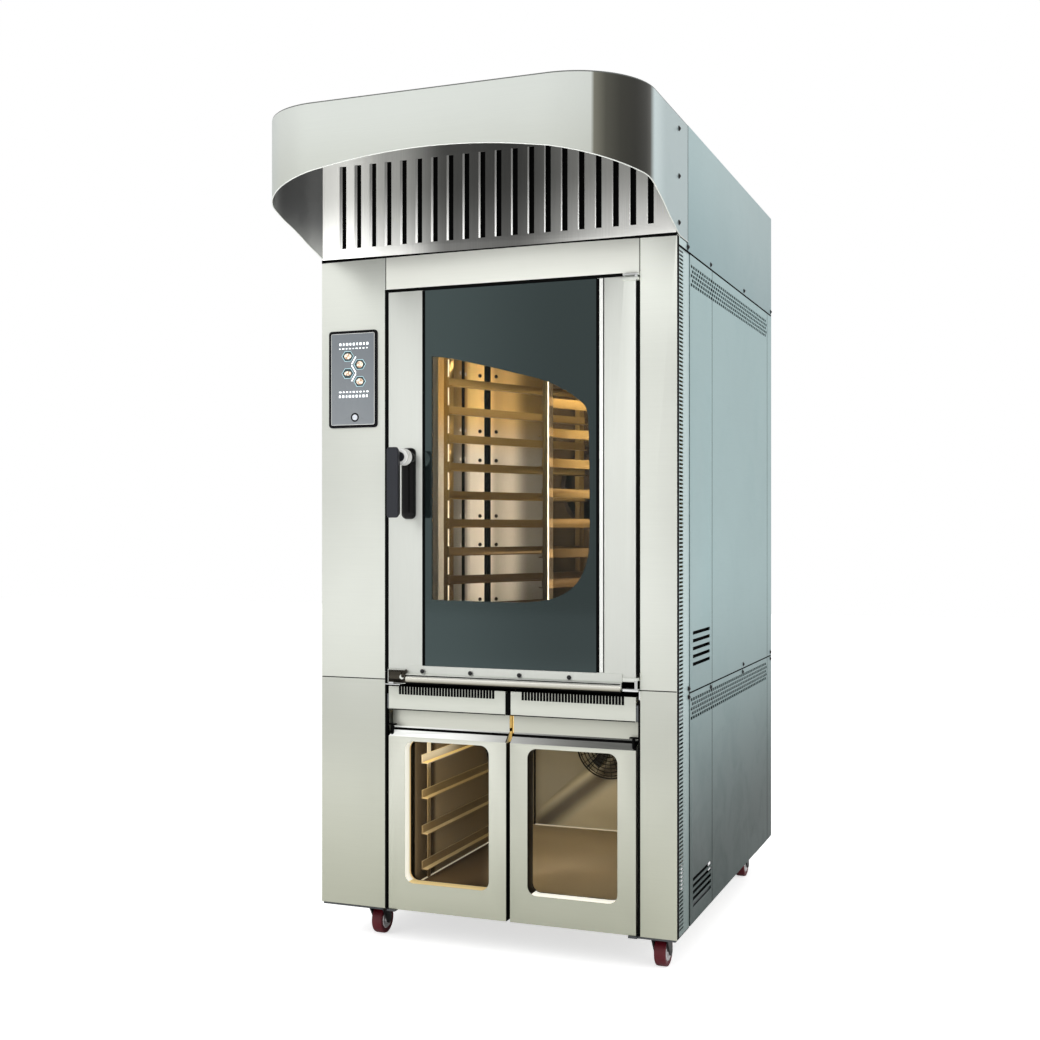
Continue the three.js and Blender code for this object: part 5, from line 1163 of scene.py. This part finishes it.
# baking chamber, rack, fan and drives; the left wall has broad soft bands of painted reflection up to its slanted
# corner, and turns gold towards the top as painted light
wall = steel("chamberWallSteel", metallic=0.45, roughness=0.4, stretch=(1, 1, 0.03), low=(0.56, 0.55, 0.49),
             high=(0.62, 0.44, 0.17), start=1.33, end=1.52)
bands = wall.ramp(wall.rise((1, 1, 0), -0.48, 0.28), (1.6, 1.6, 1.7),
                  ((0.14, 1.0), (0.22, 0.22), (0.4, 0.45), (0.46, 1.5), (0.6, 1.9), (0.72, 0.75), (0.84, 1.1),
                   (0.95, 0.35)))
wall.set(color=wall.mix(1.0, wall.tone(), bands, "MULTIPLY"))
for node, look in (("air_panel_left", "chamberWallSteel"), ("air_panel_right", "chamberSteel"),
                   ("air_panel_back", "chamberBackSteel"), ("oven_liner", "chamberBackSteel")):
    softened(node, look, 0.8, 1)

# screws beside the two slits, in pairs, and dark strips of painted shade at the slits, wider than the slits
slit = {"heights": (1620, 1443, 1351, 1174, 1083, 909), "wallY": 593, "corner": (210.4, 690.4), "ends": (832, 1699)}
lean = math.sqrt(0.5)
slitX, slitY = slit["corner"]
screws("wallScrews", [(168.3, slit["wallY"] + offset, z) for z in slit["heights"] for offset in (-20, 20)],
       (1, 0, 0), 4.5, 2, material="chromeBright")
screws("cornerScrews", [(slitX + offset * lean + 0.4, slitY + offset * lean - 0.4, z)
                        for z in slit["heights"] for offset in (-26, 30)], (1, -1, 0), 4.5, 2)
slant = [(slitX + a * lean - b * lean, slitY + a * lean + b * lean)
         for a, b in ((-11, -0.5), (11, -0.5), (11, 0.6), (-11, 0.6))]
built("slitBacking", [(addBlock, 167.6, 168.5, 582, 605, *slit["ends"]), (addPrism, slant, "z", *slit["ends"])],
      *inShadow)
softened("oven_insulation", "mineralWool", 1.0, 1)
rackFrame = softened("rack_frame", "rackSteel", 2.0)

rack = {"x": 552, "y": 462, "turn": math.radians(24), "side": 200, "front": 280, "half": 10, "trim": 2.6,
        "railZ": 904, "pitch": 81.70, "railHalf": 16, "postEnds": (836, 1696), "rightRails": (150, 192)}
rackCos, rackSin = math.cos(rack["turn"]), math.sin(rack["turn"])


def postTrim(bm, side, low, high):
    # a painted highlight: a thin glowing strip along the corner of a front post
    x, y, trim = side * rack["side"] + rack["half"], -rack["front"] - rack["half"], rack["trim"]
    corners = [(x + a, y + b) for a, b in ((-trim, -0.3), (0.3, -0.3), (0.3, trim), (-trim, trim))]
    addPrism(bm, [(rack["x"] + a * rackCos + b * rackSin, rack["y"] - a * rackSin + b * rackCos)
                  for a, b in corners], "z", low, high)


def rackPaint(normal, spot):
    # 1 on the outer face of the right front post, 2 on the right rails, which take a darker copy of the rack's steel
    # as painted shade
    sideways = (spot.x - rack["x"]) * rackCos - (spot.y - rack["y"]) * rackSin
    if normal.x > 0.8 and abs(sideways - rack["side"] - rack["half"]) < 3:
        return 1
    return 2 if rack["rightRails"][0] < sideways < rack["rightRails"][1] else 0


# painted shade: the outer face of the right front post is dark, striped in the rhythm of the rails behind it
rails = {"first": 0.8925, "pitch": 0.0817, "share": 0.29}
post = Shader("postFace", metallic=0.4, roughness=0.4)
aboveFirst = addMath(post.tree, "SUBTRACT", post.coordinate("Z"), rails["first"])
railStep = addMath(post.tree, "FRACT", addMath(post.tree, "DIVIDE", aboveFirst, rails["pitch"]))
railHere = addMath(post.tree, "LESS_THAN", railStep, rails["share"])
post.set(color=post.mix(railHere, (0.03, 0.022, 0.012), (0.16, 0.105, 0.045)))
repaint(rackFrame, ["postFace", "railSteel"], rackPaint)

# the painted highlight of the left post is broken by the tray rails; the right post has one long strip
postHighlightStrips = [(postTrim, 1, *rack["postEnds"])]
for z in (rack["railZ"] + i * rack["pitch"] for i in range(9)):
    postHighlightStrips.append((postTrim, -1, z + rack["railHalf"], z + rack["pitch"] - rack["railHalf"]))
built("postTrims", postHighlightStrips, "postTrim", nodes["rack_frame"]["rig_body"], "rack_steel")
for node, look, width in (("rack_carrier", "frameSteel", 0.8), ("circulation_impeller", "heaterSheath", 0.6),
                          ("heater_bank", "heaterSheath", 0.8), ("circulation_motor", "motorPaint", 1.5),
                          ("rack_gearmotor", "motorPaint", 1.5), ("oven_lamp", "lampGlow", 1.0)):
    softened(node, look, width)
print("chamber built")

# castors: red treads on bright discs in black forks
tread = ((27, -14.2), (36.5, -15.4), (38.9, -14), (40, -10.5), (40, 10.5), (38.9, 14), (36.5, 15.4), (27, 14.2),
         (27, -14.2))
disc = ((4.4, 8), (26.9, 8), (26.9, 13.4), (24.6, 15.2), (12, 14.2), (10.5, 16.6), (4.4, 16.6), (4.4, 8))
for node in [name for name in nodes if name.startswith("castor_wheel_")]:
    low, high = cornerBox(node)
    hub = (low + high) / 2
    corner = "".join(word.capitalize() for word in node.split("_")[2:])
    body = nodes[node]["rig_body"]
    built("tread" + corner, [(addLathe, [(radius, hub.x + along) for radius, along in tread], "x", hub.yz, 48)],
          "redTread", body, "tyre_red", [node])
    built("disc" + corner, [(addLathe, [(radius, hub.x + out * along) for radius, along in disc], "x", hub.yz, 40)
                            for out in (-1, 1)], "discSteel", body, "bright_metal")
for node in [name for name in nodes if name.startswith("castor_fork_")]:
    softened(node, "forkMetal", 0.8)
print("castors built")

hoodScrews = [(0.6, 20, z) for z in (2142, 2022, 1905)] + [(0.6, y, 1861) for y in (112, 366, 810, 1242)]
sideScrews = [(0.3, y, 698) for y in (122, 366, 790, 1236)] + [(0.3, y, 720) for y in (122, 800, 1236)]
screws("hoodScrews", [(1010 + out, y, z) for out, y, z in hoodScrews], (1, 0, 0))
screws("sideScrews", [(1010 + out, y, z) for out, y, z in sideScrews], (1, 0, 0))
screws("leftScrews", [(-out, y, z) for out, y, z in hoodScrews + sideScrews], (-1, 0, 0))
backScrews = [(x, 1255.2, z) for x in (22, 988) for z in (130, 680, 740, 1280, 1820)]
backScrews += [(505, 1255.2, z) for z in (680, 740, 1820)]
screws("backScrews", backScrews, (0, 1, 0), 3.4, 1.6)
print("screws set")

# camera, floor and light
camera = bpy.data.objects.new("camera", bpy.data.cameras.new("camera"))
scene.collection.objects.link(camera)
camera.data.sensor_width = 36
camera.data.lens = 46.99
camera.data.shift_y = 0.0073
camera.data.clip_end = 60
camera.location = (1.3636, -3.7373, 1.137)
camera.rotation_euler = (math.radians(90), 0, math.radians(21.13))
scene.camera = camera
scene.view_settings.view_transform = "Standard"

# the camera sees white behind the oven, and the steel mirrors a room that is darker below
world = bpy.data.worlds.new("studio")
scene.world = world
world.use_nodes = True
tree = world.node_tree
tree.nodes.clear()
upward = addNode(tree, "ShaderNodeSeparateXYZ", {0: addNode(tree, "ShaderNodeTexCoord").outputs["Generated"]})
height = addNode(tree, "ShaderNodeMapRange", {"Value": upward.outputs["Z"], "From Min": -0.6, "From Max": 0.7})
sky = addNode(tree, "ShaderNodeValToRGB", {0: height.outputs[0]})
sky.color_ramp.elements[0].color = (0.45, 0.45, 0.43, 1)
room = addNode(tree, "ShaderNodeBackground", {"Color": sky.outputs[0], "Strength": 0.85})
white = addNode(tree, "ShaderNodeBackground", {"Color": (1, 1, 1, 1), "Strength": 1.0})
rays = addNode(tree, "ShaderNodeLightPath").outputs["Is Camera Ray"]
either = addNode(tree, "ShaderNodeMixShader", {0: rays, 1: room.outputs[0], 2: white.outputs[0]})
addNode(tree, "ShaderNodeOutputWorld", {0: either.outputs[0]})

paper = Shader("floor", color=(0.9, 0.9, 0.9), roughness=0.9, emission=(1, 1, 1), specular=0.0)
paper.set(glow=paper.between(paper.add("LightPath")["Is Camera Ray"], 0.0, 0.64))
bm = bmesh.new()
bmesh.ops.create_grid(bm, x_segments=1, y_segments=1, size=14)
floorMesh = bpy.data.meshes.new("floor")
bm.to_mesh(floorMesh)
bm.free()
floorMesh.materials.append(paper.material)
floor = bpy.data.objects.new("floor", floorMesh)
scene.collection.objects.link(floor)


def areaLight(name, location, target, size, power, color=(1, 1, 1), sizeY=None, glossy=False):
    data = bpy.data.lights.new(name, "AREA")
    data.energy = power
    data.color = color
    data.size = size
    if sizeY:
        data.shape = "RECTANGLE"
        data.size_y = sizeY
    light = bpy.data.objects.new(name, data)
    light.location = location
    light.visible_glossy = glossy
    light.rotation_euler = (Vector(target) - Vector(location)).to_track_quat("-Z", "Y").to_euler()
    scene.collection.objects.link(light)


areaLight("key", (-3.6, -5.2, 4.0), (0, -0.4, 1.2), 3.4, 150)
areaLight("fill", (4.6, -2.0, 2.8), (0, 0, 1.2), 2.6, 46)
areaLight("hoodBounce", at(505, -900, 1350), at(505, 0, 1960), 1.1, 7, sizeY=0.4)

# warm light in the chamber and the proofer
areaLight("chamberLight", at(880, 120, 1265), at(300, 560, 1265), 0.12, 14, (1, 0.86, 0.66), 0.9)
areaLight("chamberTop", at(552, 300, 1740), at(552, 500, 1000), 0.5, 5, (1, 0.84, 0.6), 0.3, True)
areaLight("prooferFront", at(555, 90, 630), at(555, 640, 300), 0.5, 4.2, (1, 0.9, 0.7), 0.1)
areaLight("prooferLight", at(300, 80, 380), at(240, 500, 380), 0.1, 0.35, (1, 0.84, 0.56), 0.4, True)
print("stage set")
